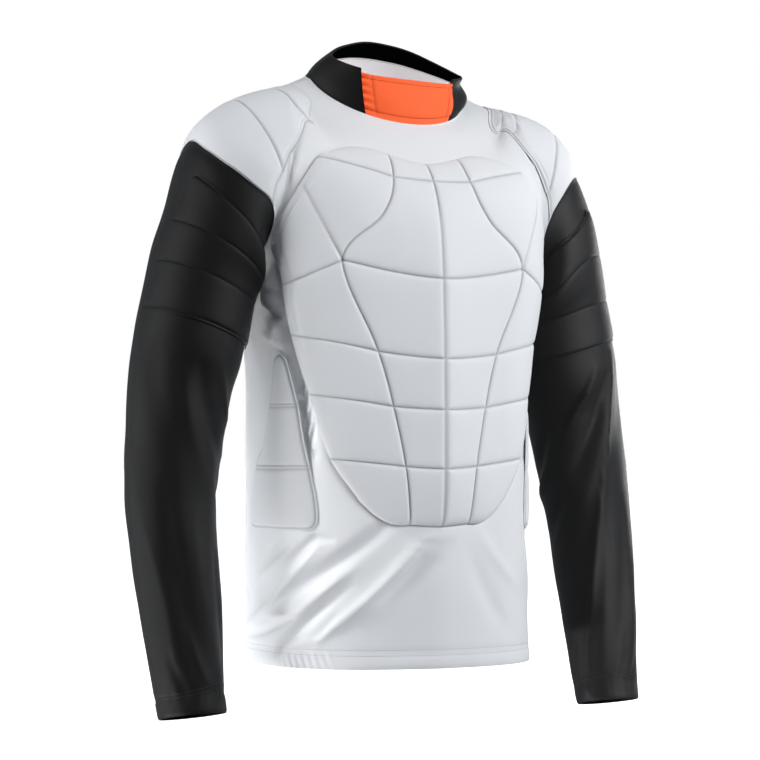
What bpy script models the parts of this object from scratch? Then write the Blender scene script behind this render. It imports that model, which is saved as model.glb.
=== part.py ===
"""A long-sleeved padded vest, hollow and standing open as if worn.

Every cloth panel is a thin wall. The torso is worked out from a table of rings, the sleeves from
rings along the arm, the collar from the neck seam, and each pad from the panel that it lies on.
Sizes are in metres, +Z is up, the front faces -Y and the wearer's left arm is on +X.
"""

import itertools

import bmesh
import bpy
import numpy as np
from mathutils import Vector
from mathutils.bvhtree import BVHTree

# Cloth and seams
BODY_CLOTH = 0.0017
SLEEVE_CLOTH = 0.0016
COLLAR_CLOTH = 0.0042
TURNED_HEM = 0.0030
SEAM_GAP = 0.0003
COLLAR_SEAM_GAP = 0.0006
WELD = 1e5
PAD_GAP = 0.0006
PAD_EDGE = 0.0014
PAD_CLEAR = 0.0004
SEAT_SEARCH = 0.006
SETTLE_ROUNDS = 4
SETTLE_SPOTS = 5

# Grid sizes, in squares
FRONT_COLUMNS = 22
BACK_COLUMNS = 16
BODY_ROWS = 11
ARMHOLE_ROWS = 9
SHOULDER_ROWS = 3
CAP_ROWS = 4
SLEEVE_ROWS = 12
COLLAR_ROWS = 6
INSERT_COLUMNS = 5

# Torso: the side seam lies this far behind the middle, and the hem hangs lower on the left
SIDE_Y = 0.004
HEM_TILT = 0.020
HEM_TILT_POWER = 1.5
KEEL_WIDTH = 0.085
KEEL_POWER = 1.5
ARMPIT = 1.0
SHOULDER_TIP = 2.0
NECK = 3.0
MOST_HOLE_SHARE = 0.98


def table(columns, rows):
    """A short table whose columns are read by name."""
    return np.array(rows, dtype=[(name, float) for name in columns.split()])


# Torso rings from the hem (0) through the armpit (1) and the shoulder tip (2) to the neck seam (3).
# Squareness 2 is an ellipse, more is squarer. seam is how far the side seam lies behind the
# widest place, in degrees round the ring.
TORSO = table(
    "t z_front y_front z_back y_back x_side z_side square_front square_back keel seam",
    [
        (0.00, -0.6680, -0.1175, -0.6650, 0.1170, 0.1760, -0.6660, 2.6, 2.6, 0.004, 20),
        (0.27, -0.5500, -0.1150, -0.5500, 0.1150, 0.1665, -0.5500, 2.9, 2.8, 0.009, 18),
        (0.55, -0.4200, -0.1125, -0.4200, 0.1130, 0.1640, -0.4200, 3.2, 2.9, 0.014, 14),
        (0.80, -0.3120, -0.1115, -0.3100, 0.1150, 0.1680, -0.3080, 3.3, 2.7, 0.014, 8),
        (1.00, -0.2300, -0.1110, -0.2250, 0.1180, 0.1845, -0.2097, 3.3, 2.5, 0.012, 0),
        (1.50, -0.1320, -0.1040, -0.1250, 0.1160, 0.1685, -0.1090, 3.0, 2.5, 0.003, 0),
        (2.00, -0.0760, -0.0790, -0.0300, 0.1020, 0.1525, -0.0083, 2.4, 2.4, 0.000, 0),
        (3.00, -0.0420, -0.0603, 0.0360, 0.0720, 0.1000, 0.0120, 2.0, 2.0, 0.000, 0),
    ],
)

# Sleeve rings from the armhole (0) to the cuff's end. lean turns a ring about Y and forward tips
# it about X, in degrees. The left arm hangs a little lower and wider.
SLEEVE = table(
    "s x y z lean forward half_out half_fore left_x left_z",
    [
        (0.0, 0.1685, 0.0040, -0.1090, -9, 0.0, 0.1020, 0.0790, 0.000, 0.000),
        (1.0, 0.2010, 0.0020, -0.1255, 7.75, 0.0, 0.0930, 0.0765, 0.004, 0.004),
        (2.0, 0.2225, 0.0000, -0.1520, 24.5, 0.0, 0.0825, 0.0725, 0.006, -0.016),
        (3.0, 0.2330, -0.0010, -0.1899, 41.7, 0.0, 0.0680, 0.0680, 0.006, -0.020),
        (4.0, 0.2425, 0.0020, -0.2335, 63, 0.0, 0.0630, 0.0650, 0.003, -0.020),
        (5.0, 0.2584, -0.0010, -0.3060, 75, 1.0, 0.0625, 0.0635, 0.000, -0.020),
        (6.0, 0.2702, -0.0010, -0.3650, 78, 4.0, 0.0578, 0.0578, 0.000, -0.020),
        (7.0, 0.2832, -0.0112, -0.4800, 84, 9.0, 0.0511, 0.0519, 0.000, -0.020),
        (8.0, 0.2818, -0.0350, -0.5950, 90, 11.5, 0.0454, 0.0459, 0.000, -0.020),
        (9.0, 0.2784, -0.0565, -0.7000, 91, 11.5, 0.0375, 0.0380, 0.000, -0.018),
        (9.2, 0.2781, -0.0597, -0.7110, 91, 11.5, 0.0365, 0.0370, 0.000, -0.016),
    ],
)
SLEEVE_END = 9.2
CUFF_START = 8.98
LOWER_ROWS = (8.1, 8.6, CUFF_START, 9.1, SLEEVE_END)
UPPER_END = 7.6
UPPER_SPACING = 1.15

# Where the black seam crosses the sleeve, by the turn round the arm (0 outside, 90 fore, 180 under)
BLACK_SEAM = table(
    "turn right left",
    [
        (0, 1.92, 1.95),
        (30, 2.03, 1.90),
        (60, 1.95, 1.58),
        (90, 1.50, 1.12),
        (105, 0.98, 0.76),
        (118, 0.55, 0.50),
        (150, 0.65, 0.65),
        (180, 0.90, 0.90),
    ],
)

# Collar top edge, by the turn round the neck (0 left side, 90 front, 180 right side, 270 back)
COLLAR_TOP = table(
    "turn x y z",
    [
        (0, 0.0925, -0.0180, 0.0300),
        (45, 0.0660, -0.0455, 0.0185),
        (90, 0.0000, -0.0580, 0.0165),
        (135, -0.0605, -0.0495, 0.0206),
        (180, -0.0790, -0.0100, 0.0400),
        (225, -0.0500, 0.0150, 0.0588),
        (270, -0.0040, 0.0270, 0.0695),
        (315, 0.0480, 0.0185, 0.0600),
        (360, 0.0925, -0.0180, 0.0300),
    ],
)
COLLAR_BELLY = 0.0025
PINCH_TURN = 18.0
PINCH_SPREAD = 26.0
PINCH_DEEP = 0.005
INSERT_TALL = 0.9
TOP_ROLL = 0.32

# Chest pad rows from the foot to the top: where each meets the middle, the long quilting line
# and the pad's edge
CHEST = table(
    "row z_middle x_line z_line x_edge z_edge",
    [
        (0.0, -0.5074, 0.0382, -0.5050, 0.0960, -0.4780),
        (1.0, -0.4425, 0.0452, -0.4400, 0.1227, -0.4310),
        (2.0, -0.3758, 0.0592, -0.3727, 0.1406, -0.3590),
        (3.0, -0.3181, 0.0768, -0.3110, 0.1560, -0.2920),
        (4.0, -0.2274, 0.1179, -0.2100, 0.1670, -0.2365),
        (5.0, -0.1620, 0.0702, -0.1570, 0.1730, -0.1680),
        (6.0, -0.1165, 0.0514, -0.1145, 0.1310, -0.0915),
        (6.5, -0.0923, 0.0467, -0.0835, 0.1184, -0.0845),
    ],
)
CHEST_LINE_AT = 0.45
CHEST_RISE = 1.5
CHEST_MARKS = [0.0, 1.0, 2.0, 3.0, 4.0, 6.0, 6.5]
CHEST_CROSSING = 4.0
CHEST_STRAP_ROW = 5.55
CHEST_TOP_BOW = 0.007
CHEST_FOOT_BOW = 0.0095
CHEST_THICK = 0.0110
HALF_CHEST = 0.19
TRIES = 14
MOST_W = 0.985
MOST_T = 2.9

# Side pads: edges round the torso ring in degrees forward of the widest place
SIDE_PAD = table(
    "z fore back",
    [
        (-0.5060, 38, -3),
        (-0.4950, 41, -6),
        (-0.4700, 37, -2),
        (-0.4100, 31, 3),
        (-0.3400, 23, 9),
        (-0.3110, 19, 14),
    ],
)
SIDE_PAD_MARKS = [-0.506, -0.442, -0.371, -0.311]
SIDE_PAD_THICK = 0.0060

# Shoulder pads: reach is -1 at the neck end, 0 at the shoulder tip, 1 at the black seam. Each edge
# is a place w, t on the body panel; past w = 1 it goes on down the sleeve cap, 2 at the black seam
SHOULDER_PAD = table(
    "reach w_fore t_fore w_back t_back",
    [
        (-1.00, 0.67, 2.21, 0.76, 2.23),
        (-0.50, 0.68, 2.07, 0.76, 2.07),
        (0.00, 0.80, 1.87, 0.86, 1.86),
        (0.14, 0.98, 1.65, 0.99, 1.70),
        (0.26, 1.18, 1.56, 1.20, 1.63),
        (0.42, 1.42, 1.51, 1.42, 1.59),
        (0.97, 1.97, 1.43, 1.97, 1.51),
    ],
)
SHOULDER_PAD_MARKS = [-1.0, 0.0, 0.42, 0.97]
SHOULDER_PAD_THICK = 0.0068
NECK_END_T = 2.34
NECK_END_ROUND = 5.0

# Arm pads: where each edge and quilting line crosses the sleeve at the outer and the inner side
ARM_PAD = table(
    "row s_outer s_inner",
    [(0, 4.70, 4.70), (1, 4.05, 4.00), (2, 3.35, 2.90), (3, 2.62, 1.75)],
)
ARM_PAD_MARKS = [0.0, 1.0, 2.0, 3.0]
ARM_PAD_TURN = (-14.0, 128.0)
ARM_PAD_THICK = 0.0050

# Where a pad has points between two quilting lines: close to both, and spread between them
FEW = (0.0, 0.1, 0.5, 0.9)
SOME = (0.0, 0.1, 0.37, 0.63, 0.9)
MANY = (0.0, 0.05, 0.14, 0.23, 0.32, 0.41, 0.5, 0.59, 0.68, 0.77, 0.86, 0.95)
EDGE_ROLL = 0.010
QUILT_WIDTH = 0.006
QUILT_DEPTH = 0.60
SHOULDER_QUILT_DEPTH = 0.35

SHARP_ANGLE = 50.0
CLOTH_ROUGHNESS = 0.8
LINE_POINTS = 161

WHITE = (0.78, 0.80, 0.84, 1.0)
BLACK = (0.012, 0.012, 0.013, 1.0)
ORANGE = (0.95, 0.16, 0.05, 1.0)


def smooth(knots, values, at):
    """A curve through a table column, with each slope taken from the rows on both sides."""
    knots = np.asarray(knots, float)
    values = np.asarray(values, float)
    slopes = np.gradient(values, knots)
    at = np.clip(np.asarray(at, float), knots[0], knots[-1])
    k = np.clip(np.searchsorted(knots, at, side="right") - 1, 0, len(knots) - 2)
    span = knots[k + 1] - knots[k]
    f = (at - knots[k]) / span
    start = (1 + 2 * f) * (1 - f) ** 2 * values[k] + f * (1 - f) ** 2 * span * slopes[k]
    end = f * f * (3 - 2 * f) * values[k + 1] - f * f * (1 - f) * span * slopes[k + 1]
    return start + end


def unit(way):
    return way / np.linalg.norm(way, axis=-1, keepdims=True)


def torso(name, t):
    return smooth(TORSO["t"], TORSO[name], t)


def sleeve_point(side, turn, s):
    """A point on a sleeve: side is -1 right or 1 left, turn in degrees round it, s along it."""
    turn = np.radians(turn)
    left = 0.5 + 0.5 * side
    value = {name: smooth(SLEEVE["s"], SLEEVE[name], s) for name in SLEEVE.dtype.names}
    lean = np.radians(value["lean"])
    forward = np.radians(value["forward"])
    out = value["half_out"] * np.cos(turn)
    fore = value["half_fore"] * np.sin(turn)
    x = value["x"] + left * value["left_x"] + out * np.sin(lean)
    y = value["y"] - fore * np.cos(forward)
    z = value["z"] + left * value["left_z"] + out * np.cos(lean) + fore * np.sin(forward)
    return np.stack([side * x, y, z], axis=-1)


def panel_edge(face, t):
    """The edge of a body panel on its own side: its place, the widest place and the ring angle."""
    t = np.asarray(t, float)
    square = torso("square_front" if face < 0 else "square_back", t)
    depth = torso("y_front" if face < 0 else "y_back", t) - SIDE_Y
    hole = sleeve_point(1, np.where(face < 0, 180.0, -180.0) * np.clip(2 - t, 0, 1), 0.0 * t)
    climb = np.clip(t - SHOULDER_TIP, 0, 1)
    x = torso("x_side", t)
    x = np.where(t > ARMPIT, hole[..., 0] * (1 - climb) + TORSO["x_side"][-1] * climb, x)
    z = torso("z_side", t)
    z = np.where(t > ARMPIT, hole[..., 2] * (1 - climb) + TORSO["z_side"][-1] * climb, z)
    share = np.clip((hole[..., 1] - SIDE_Y) / depth, 0.0, MOST_HOLE_SHARE)
    share = np.where((t > ARMPIT) & (t < SHOULDER_TIP), share, 0.0)
    angle = np.arcsin(share ** (square / 2))
    widest = x / np.cos(angle) ** (2 / square)
    seam = np.radians(torso("seam", t))
    angle = np.where(t < ARMPIT, face * seam, angle)
    return widest, z, angle, SIDE_Y + share * depth


def ring_point(face, side, angle, t):
    """A point of a torso ring, at an angle from the widest place towards the middle of a face."""
    widest, z_edge, _, y_edge = panel_edge(face, t)
    behind = angle < 0
    front = (face < 0) ^ behind
    square = np.where(front, torso("square_front", t), torso("square_back", t))
    y_mid = np.where(front, torso("y_front", t), torso("y_back", t))
    z_mid = np.where(front, torso("z_front", t), torso("z_back", t))
    x = widest * np.abs(np.cos(angle)) ** (2 / square)
    y = SIDE_Y + (y_mid - SIDE_Y) * np.abs(np.sin(angle)) ** (2 / square)
    y_edge = np.where(behind, SIDE_Y, y_edge)
    z = z_mid + (z_edge - z_mid) * (y - y_mid) / (y_edge - y_mid)
    ridge = np.clip(1 - x / KEEL_WIDTH, 0, 1) ** KEEL_POWER
    y = y - np.where(front, torso("keel", t) * ridge, 0.0)
    z = z - HEM_TILT * side * x * np.clip(ARMPIT - t, 0, 1) ** HEM_TILT_POWER
    return np.stack(np.broadcast_arrays(side * x, y, z), axis=-1)


def panel_point(face, w, t):
    """A point of the front (-1) or back (1) panel: w is -1 at the right edge, 1 at the left."""
    edge = panel_edge(face, t)[2]
    angle = np.pi / 2 - np.abs(w) * (np.pi / 2 - edge)
    return ring_point(face, np.where(w < 0, -1.0, 1.0), angle, t)


def body_rows():
    low = np.linspace(0, ARMPIT, BODY_ROWS + 1)
    hole = np.linspace(ARMPIT, SHOULDER_TIP, ARMHOLE_ROWS + 1)[1:]
    top = np.linspace(SHOULDER_TIP, NECK, SHOULDER_ROWS + 1)[1:]
    return np.concatenate([low, hole, top])


def body_grid(face, columns):
    w = np.linspace(-1, 1, columns + 1)
    return panel_point(face, w[None, :], body_rows()[:, None])


def sleeve_turns():
    """Turns round the armhole that meet the body's own rows, front and back."""
    step = 180.0 / ARMHOLE_ROWS
    return np.arange(2 * ARMHOLE_ROWS) * step


def black_seam(side, turn):
    """How far along the sleeve the black seam lies, the same in front and behind."""
    folded = 180 - np.abs(180 - np.mod(turn, 360.0))
    knots = BLACK_SEAM["turn"]
    knots = np.concatenate([[-knots[1]], knots, [360 - knots[-2]]])
    values = BLACK_SEAM["right" if side < 0 else "left"]
    values = np.concatenate([[values[1]], values, [values[-2]]])
    return smooth(knots, values, folded)


def cap_grid(side):
    turn = sleeve_turns()[None, :]
    share = np.linspace(0, 1, CAP_ROWS + 1)[:, None]
    return sleeve_point(side, turn, share * black_seam(side, turn))


def sleeve_grid(side):
    turn = sleeve_turns()[None, :]
    top = black_seam(side, turn)
    share = np.linspace(0, 1, SLEEVE_ROWS + 1)[:, None] ** UPPER_SPACING
    upper = top + (UPPER_END - top) * share
    lower = np.array(LOWER_ROWS)[:, None] + 0.0 * top
    return sleeve_point(side, turn, np.concatenate([upper, lower]))


def collar_edge(name, turn):
    """A column of the collar's top edge, read round and round."""
    knots = COLLAR_TOP["turn"]
    knots = np.concatenate([[knots[-2] - 360], knots, [knots[1] + 360]])
    values = COLLAR_TOP[name]
    values = np.concatenate([[values[-2]], values, [values[1]]])
    return smooth(knots, values, turn)


def collar_point(seam, height):
    """A point of the collar above a point of the neck seam, height 0 to 1."""
    x, y = seam[..., 0], seam[..., 1] - SIDE_Y
    turn = np.degrees(np.mod(np.arctan2(-y, x), 2 * np.pi))
    top = np.stack([collar_edge(name, turn) for name in "xyz"], -1)
    point = seam + (top - seam) * height[..., None]
    away = np.mod(turn - PINCH_TURN + 180, 360) - 180
    pinch = PINCH_DEEP * np.exp(-((away / PINCH_SPREAD) ** 2)) * np.sin(2 * np.pi * height)
    bulge = COLLAR_BELLY * np.sin(np.pi * height) + pinch
    out = unit(np.stack([x, y, 0.0 * x], -1))
    return point + out * bulge[..., None]


def collar_grids():
    """The black band and the front insert, on the points of the neck seam."""
    front = body_grid(-1, FRONT_COLUMNS)[-1]
    back = body_grid(1, BACK_COLUMNS)[-1]
    height = np.append(np.linspace(0, INSERT_TALL, COLLAR_ROWS), 1.0)[:, None]
    first = FRONT_COLUMNS // 2 - INSERT_COLUMNS
    last = FRONT_COLUMNS // 2 + INSERT_COLUMNS
    seam = np.concatenate([front[last:], back[::-1][1:], front[1 : first + 1]])
    band = collar_point(seam[None, :, :], height)
    insert = collar_point(front[None, first : last + 1, :], height[:-1])
    return band, insert


def face_normals(grid, closed):
    """Area-weighted normals of a grid's squares."""
    if closed:
        grid = np.concatenate([grid, grid[:, :1]], axis=1)
    first = grid[1:, 1:] - grid[:-1, :-1]
    second = grid[1:, :-1] - grid[:-1, 1:]
    return np.cross(first, second)


def point_normals(grid, closed):
    """Unit normals at the points of one grid, averaged over the squares round each."""
    normal = face_normals(grid, closed)
    if closed:
        padded = np.concatenate([normal[:, -1:], normal], axis=1)
        padded = np.pad(padded, ((1, 1), (0, 0), (0, 0)))
    else:
        padded = np.pad(normal, ((1, 1), (1, 1), (0, 0)))
    total = padded[:-1, :-1] + padded[1:, :-1] + padded[:-1, 1:] + padded[1:, 1:]
    return unit(total)


def shared_normals(patches):
    """Normals at every grid point; where kinds of patch meet, the middle of their normals."""
    total = {}
    own = {}
    for name, (grid, closed, flip, kind) in patches.items():
        own[name] = [tuple(key) for key in np.round(grid.reshape(-1, 3) * WELD).astype(int)]
        for key, normal in zip(own[name], (point_normals(grid, closed) * flip).reshape(-1, 3)):
            kinds = total.setdefault(key, {})
            kinds[kind] = kinds.get(kind, 0) + normal
    result = {}
    for name, keys in own.items():
        flat = np.array([sum(unit(normal) for normal in total[key].values()) for key in keys])
        result[name] = unit(flat).reshape(patches[name][0].shape)
    return result


def own_normals(grid):
    """Normals of one open grid by itself."""
    along = np.gradient(grid, axis=0)
    across = np.gradient(grid, axis=1)
    return unit(np.cross(along, across))


def step_in(grid, closed, gap):
    """The grid with its free edges drawn in by half a seam gap, square to each edge."""
    moved = grid.copy()

    def draw(edge, inside, ring):
        along = np.gradient(edge, axis=0)
        if ring:
            along = np.roll(edge, -1, axis=0) - np.roll(edge, 1, axis=0)
        along = unit(along)
        way = inside - edge
        way = way - along * np.sum(way * along, axis=-1, keepdims=True)
        return unit(way) * gap / 2

    moved[0] += draw(grid[0], grid[1], closed)
    moved[-1] += draw(grid[-1], grid[-2], closed)
    if not closed:
        moved[:, 0] += draw(grid[:, 0], grid[:, 1], False)
        moved[:, -1] += draw(grid[:, -1], grid[:, -2], False)
    return moved


def make_solid(name, outer, inner, closed, colour, group):
    """Skin an outer and an inner grid into one closed wall with its own material."""
    rows, columns = outer.shape[:2]
    mesh = bmesh.new()
    skins = []
    for grid in (outer, inner):
        skins.append([[mesh.verts.new(point) for point in row] for row in grid])
    wrap = columns if closed else columns - 1
    edges = []
    for i in range(rows - 1):
        for j in range(wrap):
            k = (j + 1) % columns
            for skin in skins:
                mesh.faces.new((skin[i][j], skin[i][k], skin[i + 1][k], skin[i + 1][j]))
    for j in range(wrap):
        k = (j + 1) % columns
        edges += [((0, j), (0, k)), ((rows - 1, j), (rows - 1, k))]
    if not closed:
        for i in range(rows - 1):
            edges += [((i, 0), (i + 1, 0)), ((i, columns - 1), (i + 1, columns - 1))]
    out, inn = skins
    for (a, b), (c, d) in edges:
        mesh.faces.new((out[a][b], out[c][d], inn[c][d], inn[a][b]))
    bmesh.ops.recalc_face_normals(mesh, faces=mesh.faces)
    if mesh.calc_volume(signed=True) < 0:
        bmesh.ops.reverse_faces(mesh, faces=mesh.faces)
    data = bpy.data.meshes.new(name)
    mesh.to_mesh(data)
    mesh.free()
    data.shade_smooth()
    data.set_sharp_from_angle(angle=np.radians(SHARP_ANGLE))
    material = bpy.data.materials.new(name + "_cloth")
    material.use_nodes = True
    shader = material.node_tree.nodes["Principled BSDF"]
    shader.inputs["Base Color"].default_value = colour
    shader.inputs["Roughness"].default_value = CLOTH_ROUGHNESS
    shader.inputs["Metallic"].default_value = 0.0
    data.materials.append(material)
    item = bpy.data.objects.new(name, data)
    group.objects.link(item)
    return item


def distance(points, lines):
    """The least distance from each point to a set of lines, each a row of close points."""
    best = np.full(points.shape[:-1], 1.0)
    for line in lines:
        for spot in line:
            best = np.minimum(best, np.linalg.norm(points - spot, axis=-1))
    return best


def pillow(to_edge, to_line, full, depth=QUILT_DEPTH):
    """Height of a quilted pad: rolled at its edge, low along each quilting line."""
    near = np.clip(to_edge / EDGE_ROLL, 0, 1)
    roll = np.sqrt(1 - (1 - near) ** 2)
    groove = 1 - depth * np.exp(-((to_line / QUILT_WIDTH) ** 2))
    return PAD_EDGE + (full - PAD_EDGE) * roll * groove


def stations(marks, shares):
    """Places along a pad: every mark, with places close to it and between."""
    places = []
    for a, b in zip(marks[:-1], marks[1:]):
        places += [a + (b - a) * share for share in shares]
    return np.array(places + [marks[-1]])


def outline(base):
    return [base[0], base[-1], base[:, 0], base[:, -1]]


def panel_tree(patches):
    """The flat squares of all panels, cut along both diagonals, for finding what lies under a pad."""
    points = []
    faces = []
    for grid, closed, _, _ in patches.values():
        rows, columns = grid.shape[:2]
        start = len(points)
        points += [tuple(point) for point in grid.reshape(-1, 3)]
        for i in range(rows - 1):
            for j in range(columns if closed else columns - 1):
                k = (j + 1) % columns
                a, b = start + i * columns + j, start + i * columns + k
                c, d = b + columns, a + columns
                faces += [(a, b, c), (a, c, d), (a, b, d), (b, c, d)]
    return BVHTree.FromPolygons(points, faces)


def clearance(points, ways, tree):
    """How far each point stands out from the flat squares below it."""
    height = np.full(points.shape[:-1], SEAT_SEARCH)
    for place in np.ndindex(height.shape):
        way = Vector(ways[place])
        start = Vector(points[place]) + way * SEAT_SEARCH
        hit = tree.ray_cast(start, -way, 2 * SEAT_SEARCH)
        if hit[0] is not None:
            height[place] = hit[3] - SEAT_SEARCH
    return height


def corners_mixed(grid, u, v, rising):
    """One place inside every square of a grid, which is cut along a rising or falling diagonal."""
    if rising:
        shares = (1 - max(u, v), max(u - v, 0), max(v - u, 0), min(u, v))
    else:
        shares = (max(1 - u - v, 0), min(u, 1 - v), min(v, 1 - u), max(u + v - 1, 0))
    corners = (grid[:-1, :-1], grid[1:, :-1], grid[:-1, 1:], grid[1:, 1:])
    return sum(share * corner for share, corner in zip(shares, corners))


def settled(inner, normal, tree):
    """Raise the inside of a pad until it clears the panel all over, not only at its points."""
    steps = np.linspace(0, 1, SETTLE_SPOTS)
    for _ in range(SETTLE_ROUNDS):
        lack = np.zeros(inner.shape[:-1])
        for u, v, rising in itertools.product(steps, steps, (True, False)):
            spots = corners_mixed(inner, u, v, rising)
            ways = corners_mixed(normal, u, v, rising)
            need = np.maximum(0, PAD_CLEAR - clearance(spots, ways, tree))
            for corner in (lack[:-1, :-1], lack[1:, :-1], lack[:-1, 1:], lack[1:, 1:]):
                np.maximum(corner, need, out=corner)
        inner = inner + normal * lack[..., None]
    return inner


def make_pad(name, base, height, colour, group, flip, tree):
    """A pad over its base points: a plain inside on the panel and a quilted outside."""
    normal = own_normals(base) * flip
    inner = settled(base + normal * PAD_GAP, normal, tree)
    low = np.sum((inner - base) * normal, axis=-1)
    high = np.maximum(PAD_GAP + height, low + PAD_EDGE)
    outer = base + normal * high[..., None]
    make_solid(name, outer, inner, False, colour, group)


def chest_spot(p, row):
    """Sideways and upward place of a chest pad point: p is -1 to 1 across, row up the pad."""
    value = {name: smooth(CHEST["row"], CHEST[name], row) for name in CHEST.dtype.names}
    a = np.abs(p)
    near = np.clip(a / CHEST_LINE_AT, 0, 1)
    far = np.clip((a - CHEST_LINE_AT) / (1 - CHEST_LINE_AT), 0, 1)
    x = value["x_line"] * near + (value["x_edge"] - value["x_line"]) * far
    z = value["z_middle"] + (value["z_line"] - value["z_middle"]) * near**CHEST_RISE
    z = z + (value["z_edge"] - value["z_line"]) * far
    topmost = np.clip((row - CHEST_MARKS[-2]) / (CHEST_MARKS[-1] - CHEST_MARKS[-2]), 0, 1)
    z = z + CHEST_TOP_BOW * topmost * 4 * far * (1 - far)
    z = z - CHEST_FOOT_BOW * np.clip(1 - row, 0, 1) * 4 * far * (1 - far)
    return np.stack(np.broadcast_arrays(np.sign(p) * x, z), axis=-1)


def front_from(spot):
    """The front panel's w and t under a place given as (x, z), by stepping towards it."""
    x, z = np.abs(spot[..., 0]), spot[..., 1]
    side = np.where(spot[..., 0] < 0, -1.0, 1.0)
    t = np.interp(z, TORSO["z_front"], TORSO["t"])
    w = np.clip(x / HALF_CHEST, 0, 1)
    small = 1e-4
    for _ in range(TRIES):
        here = panel_point(-1, side * w, t)
        by_w = (panel_point(-1, side * (w + small), t) - here) / small
        by_t = (panel_point(-1, side * w, t + small) - here) / small
        ex, ez = x - np.abs(here[..., 0]), z - here[..., 2]
        xw, zw = side * by_w[..., 0], by_w[..., 2]
        xt, zt = side * by_t[..., 0], by_t[..., 2]
        det = xw * zt - xt * zw
        w = np.clip(w + (ex * zt - xt * ez) / det, 0, MOST_W)
        t = np.clip(t + (xw * ez - ex * zw) / det, 0, MOST_T)
    return side * w, t


def chest_pad(group, tree):
    p = stations([-1.0, -CHEST_LINE_AT, 0.0, CHEST_LINE_AT, 1.0], SOME)
    rows = stations(CHEST_MARKS, SOME)
    spot = chest_spot(p[None, :], rows[:, None])
    w, t = front_from(spot)
    base = panel_point(-1, w, t)
    fine = np.linspace(-1, 1, LINE_POINTS)
    tall = np.linspace(CHEST_MARKS[0], CHEST_MARKS[-1], LINE_POINTS)
    lines = [chest_spot(fine, np.full_like(fine, row)) for row in CHEST_MARKS[1:-1]]
    edge = [chest_spot(fine, np.full_like(fine, row)) for row in (tall[0], tall[-1])]
    lines.append(chest_spot(0.0 * tall, tall))
    share = np.linspace(0, 1, LINE_POINTS)[:, None]
    for side in (-1.0, 1.0):
        edge.append(chest_spot(np.full_like(tall, side), tall))
        lines.append(chest_spot(np.full_like(tall, side * CHEST_LINE_AT), tall))
        cross = chest_spot(np.float64(side * CHEST_LINE_AT), np.float64(CHEST_CROSSING))
        end = chest_spot(np.float64(side), np.float64(CHEST_STRAP_ROW))
        lines.append(cross + (end - cross) * share)
    height = pillow(distance(spot, edge), distance(spot, lines), CHEST_THICK)
    make_pad("chest_pad", base, height, WHITE, group, -1, tree)


def side_pad(side, name, group, tree):
    rows = stations(SIDE_PAD_MARKS, FEW)
    across = stations([0.0, 1.0], MANY[::2])
    fore = smooth(SIDE_PAD["z"], SIDE_PAD["fore"], rows)[:, None]
    back = smooth(SIDE_PAD["z"], SIDE_PAD["back"], rows)[:, None]
    angle = np.radians(back + (fore - back) * across[None, :])
    below = TORSO["t"] <= ARMPIT
    t = np.interp(rows, TORSO["z_side"][below], TORSO["t"][below])[:, None]
    base = ring_point(-1, float(side), angle, t + 0.0 * angle)
    to_line = np.min([np.abs(rows - z) for z in SIDE_PAD_MARKS[1:-1]], axis=0)[:, None]
    height = pillow(distance(base, outline(base)), to_line + 0.0 * angle, SIDE_PAD_THICK)
    make_pad(name, base, height, WHITE, group, side, tree)


def shoulder_point(side, across, reach):
    """A point over the shoulder: across runs from -1 at the back edge to 1 at the fore edge."""
    far = np.abs(across)
    ahead = across > 0
    names = SHOULDER_PAD.dtype.names
    edge = {name: smooth(SHOULDER_PAD["reach"], SHOULDER_PAD[name], reach) for name in names}
    w_edge = np.where(ahead, edge["w_fore"], edge["w_back"])
    t_edge = np.where(ahead, edge["t_fore"], edge["t_back"])
    share = np.clip(-reach, 0, 1)
    w_ridge = 1 + np.clip(reach, 0, 1)
    t_ridge = SHOULDER_TIP + (NECK_END_T - SHOULDER_TIP) * share
    w = w_ridge + (w_edge - w_ridge) * far
    t = t_ridge + (t_edge - t_ridge) * far ** (1 + NECK_END_ROUND * share)
    turn = np.clip(SHOULDER_TIP - t, 0, 1) * np.where(ahead, 180.0, -180.0)
    cap = sleeve_point(side, turn, np.clip(w - 1, 0, 1) * black_seam(side, turn))
    on_body = side * np.clip(w, 0, 1)
    body = np.where(ahead[..., None], panel_point(-1, on_body, t), panel_point(1, on_body, t))
    return np.where((w > 1)[..., None], cap, body)


def shoulder_pad(side, name, group, tree):
    reach = stations(SHOULDER_PAD_MARKS, SOME)[:, None]
    across = stations([-1.0, 1.0], MANY)[None, :]
    base = shoulder_point(side, across + 0.0 * reach, reach + 0.0 * across)
    spread = np.linspace(-1, 1, LINE_POINTS)
    lines = [shoulder_point(side, spread, 0.0 * spread + mark) for mark in SHOULDER_PAD_MARKS[1:-1]]
    to_edge = distance(base, outline(base))
    height = pillow(to_edge, distance(base, lines), SHOULDER_PAD_THICK, SHOULDER_QUILT_DEPTH)
    make_pad(name, base, height, WHITE, group, -side, tree)


def arm_pad(side, name, group, tree):
    rows = stations(ARM_PAD_MARKS, FEW)
    across = stations([0.0, 1.0], MANY)[None, :]
    outer = smooth(ARM_PAD["row"], ARM_PAD["s_outer"], rows)[:, None]
    inner = smooth(ARM_PAD["row"], ARM_PAD["s_inner"], rows)[:, None]
    s = outer + (inner - outer) * across
    turn = ARM_PAD_TURN[0] + (ARM_PAD_TURN[1] - ARM_PAD_TURN[0]) * across
    base = sleeve_point(side, turn + 0.0 * s, s)
    lines = [base[np.argmin(np.abs(rows - mark))] for mark in ARM_PAD_MARKS[1:-1]]
    height = pillow(distance(base, outline(base)), distance(base, lines), ARM_PAD_THICK)
    make_pad(name, base, height, BLACK, group, side, tree)


def clear_scene():
    for item in list(bpy.data.objects):
        bpy.data.objects.remove(item, do_unlink=True)


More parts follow.
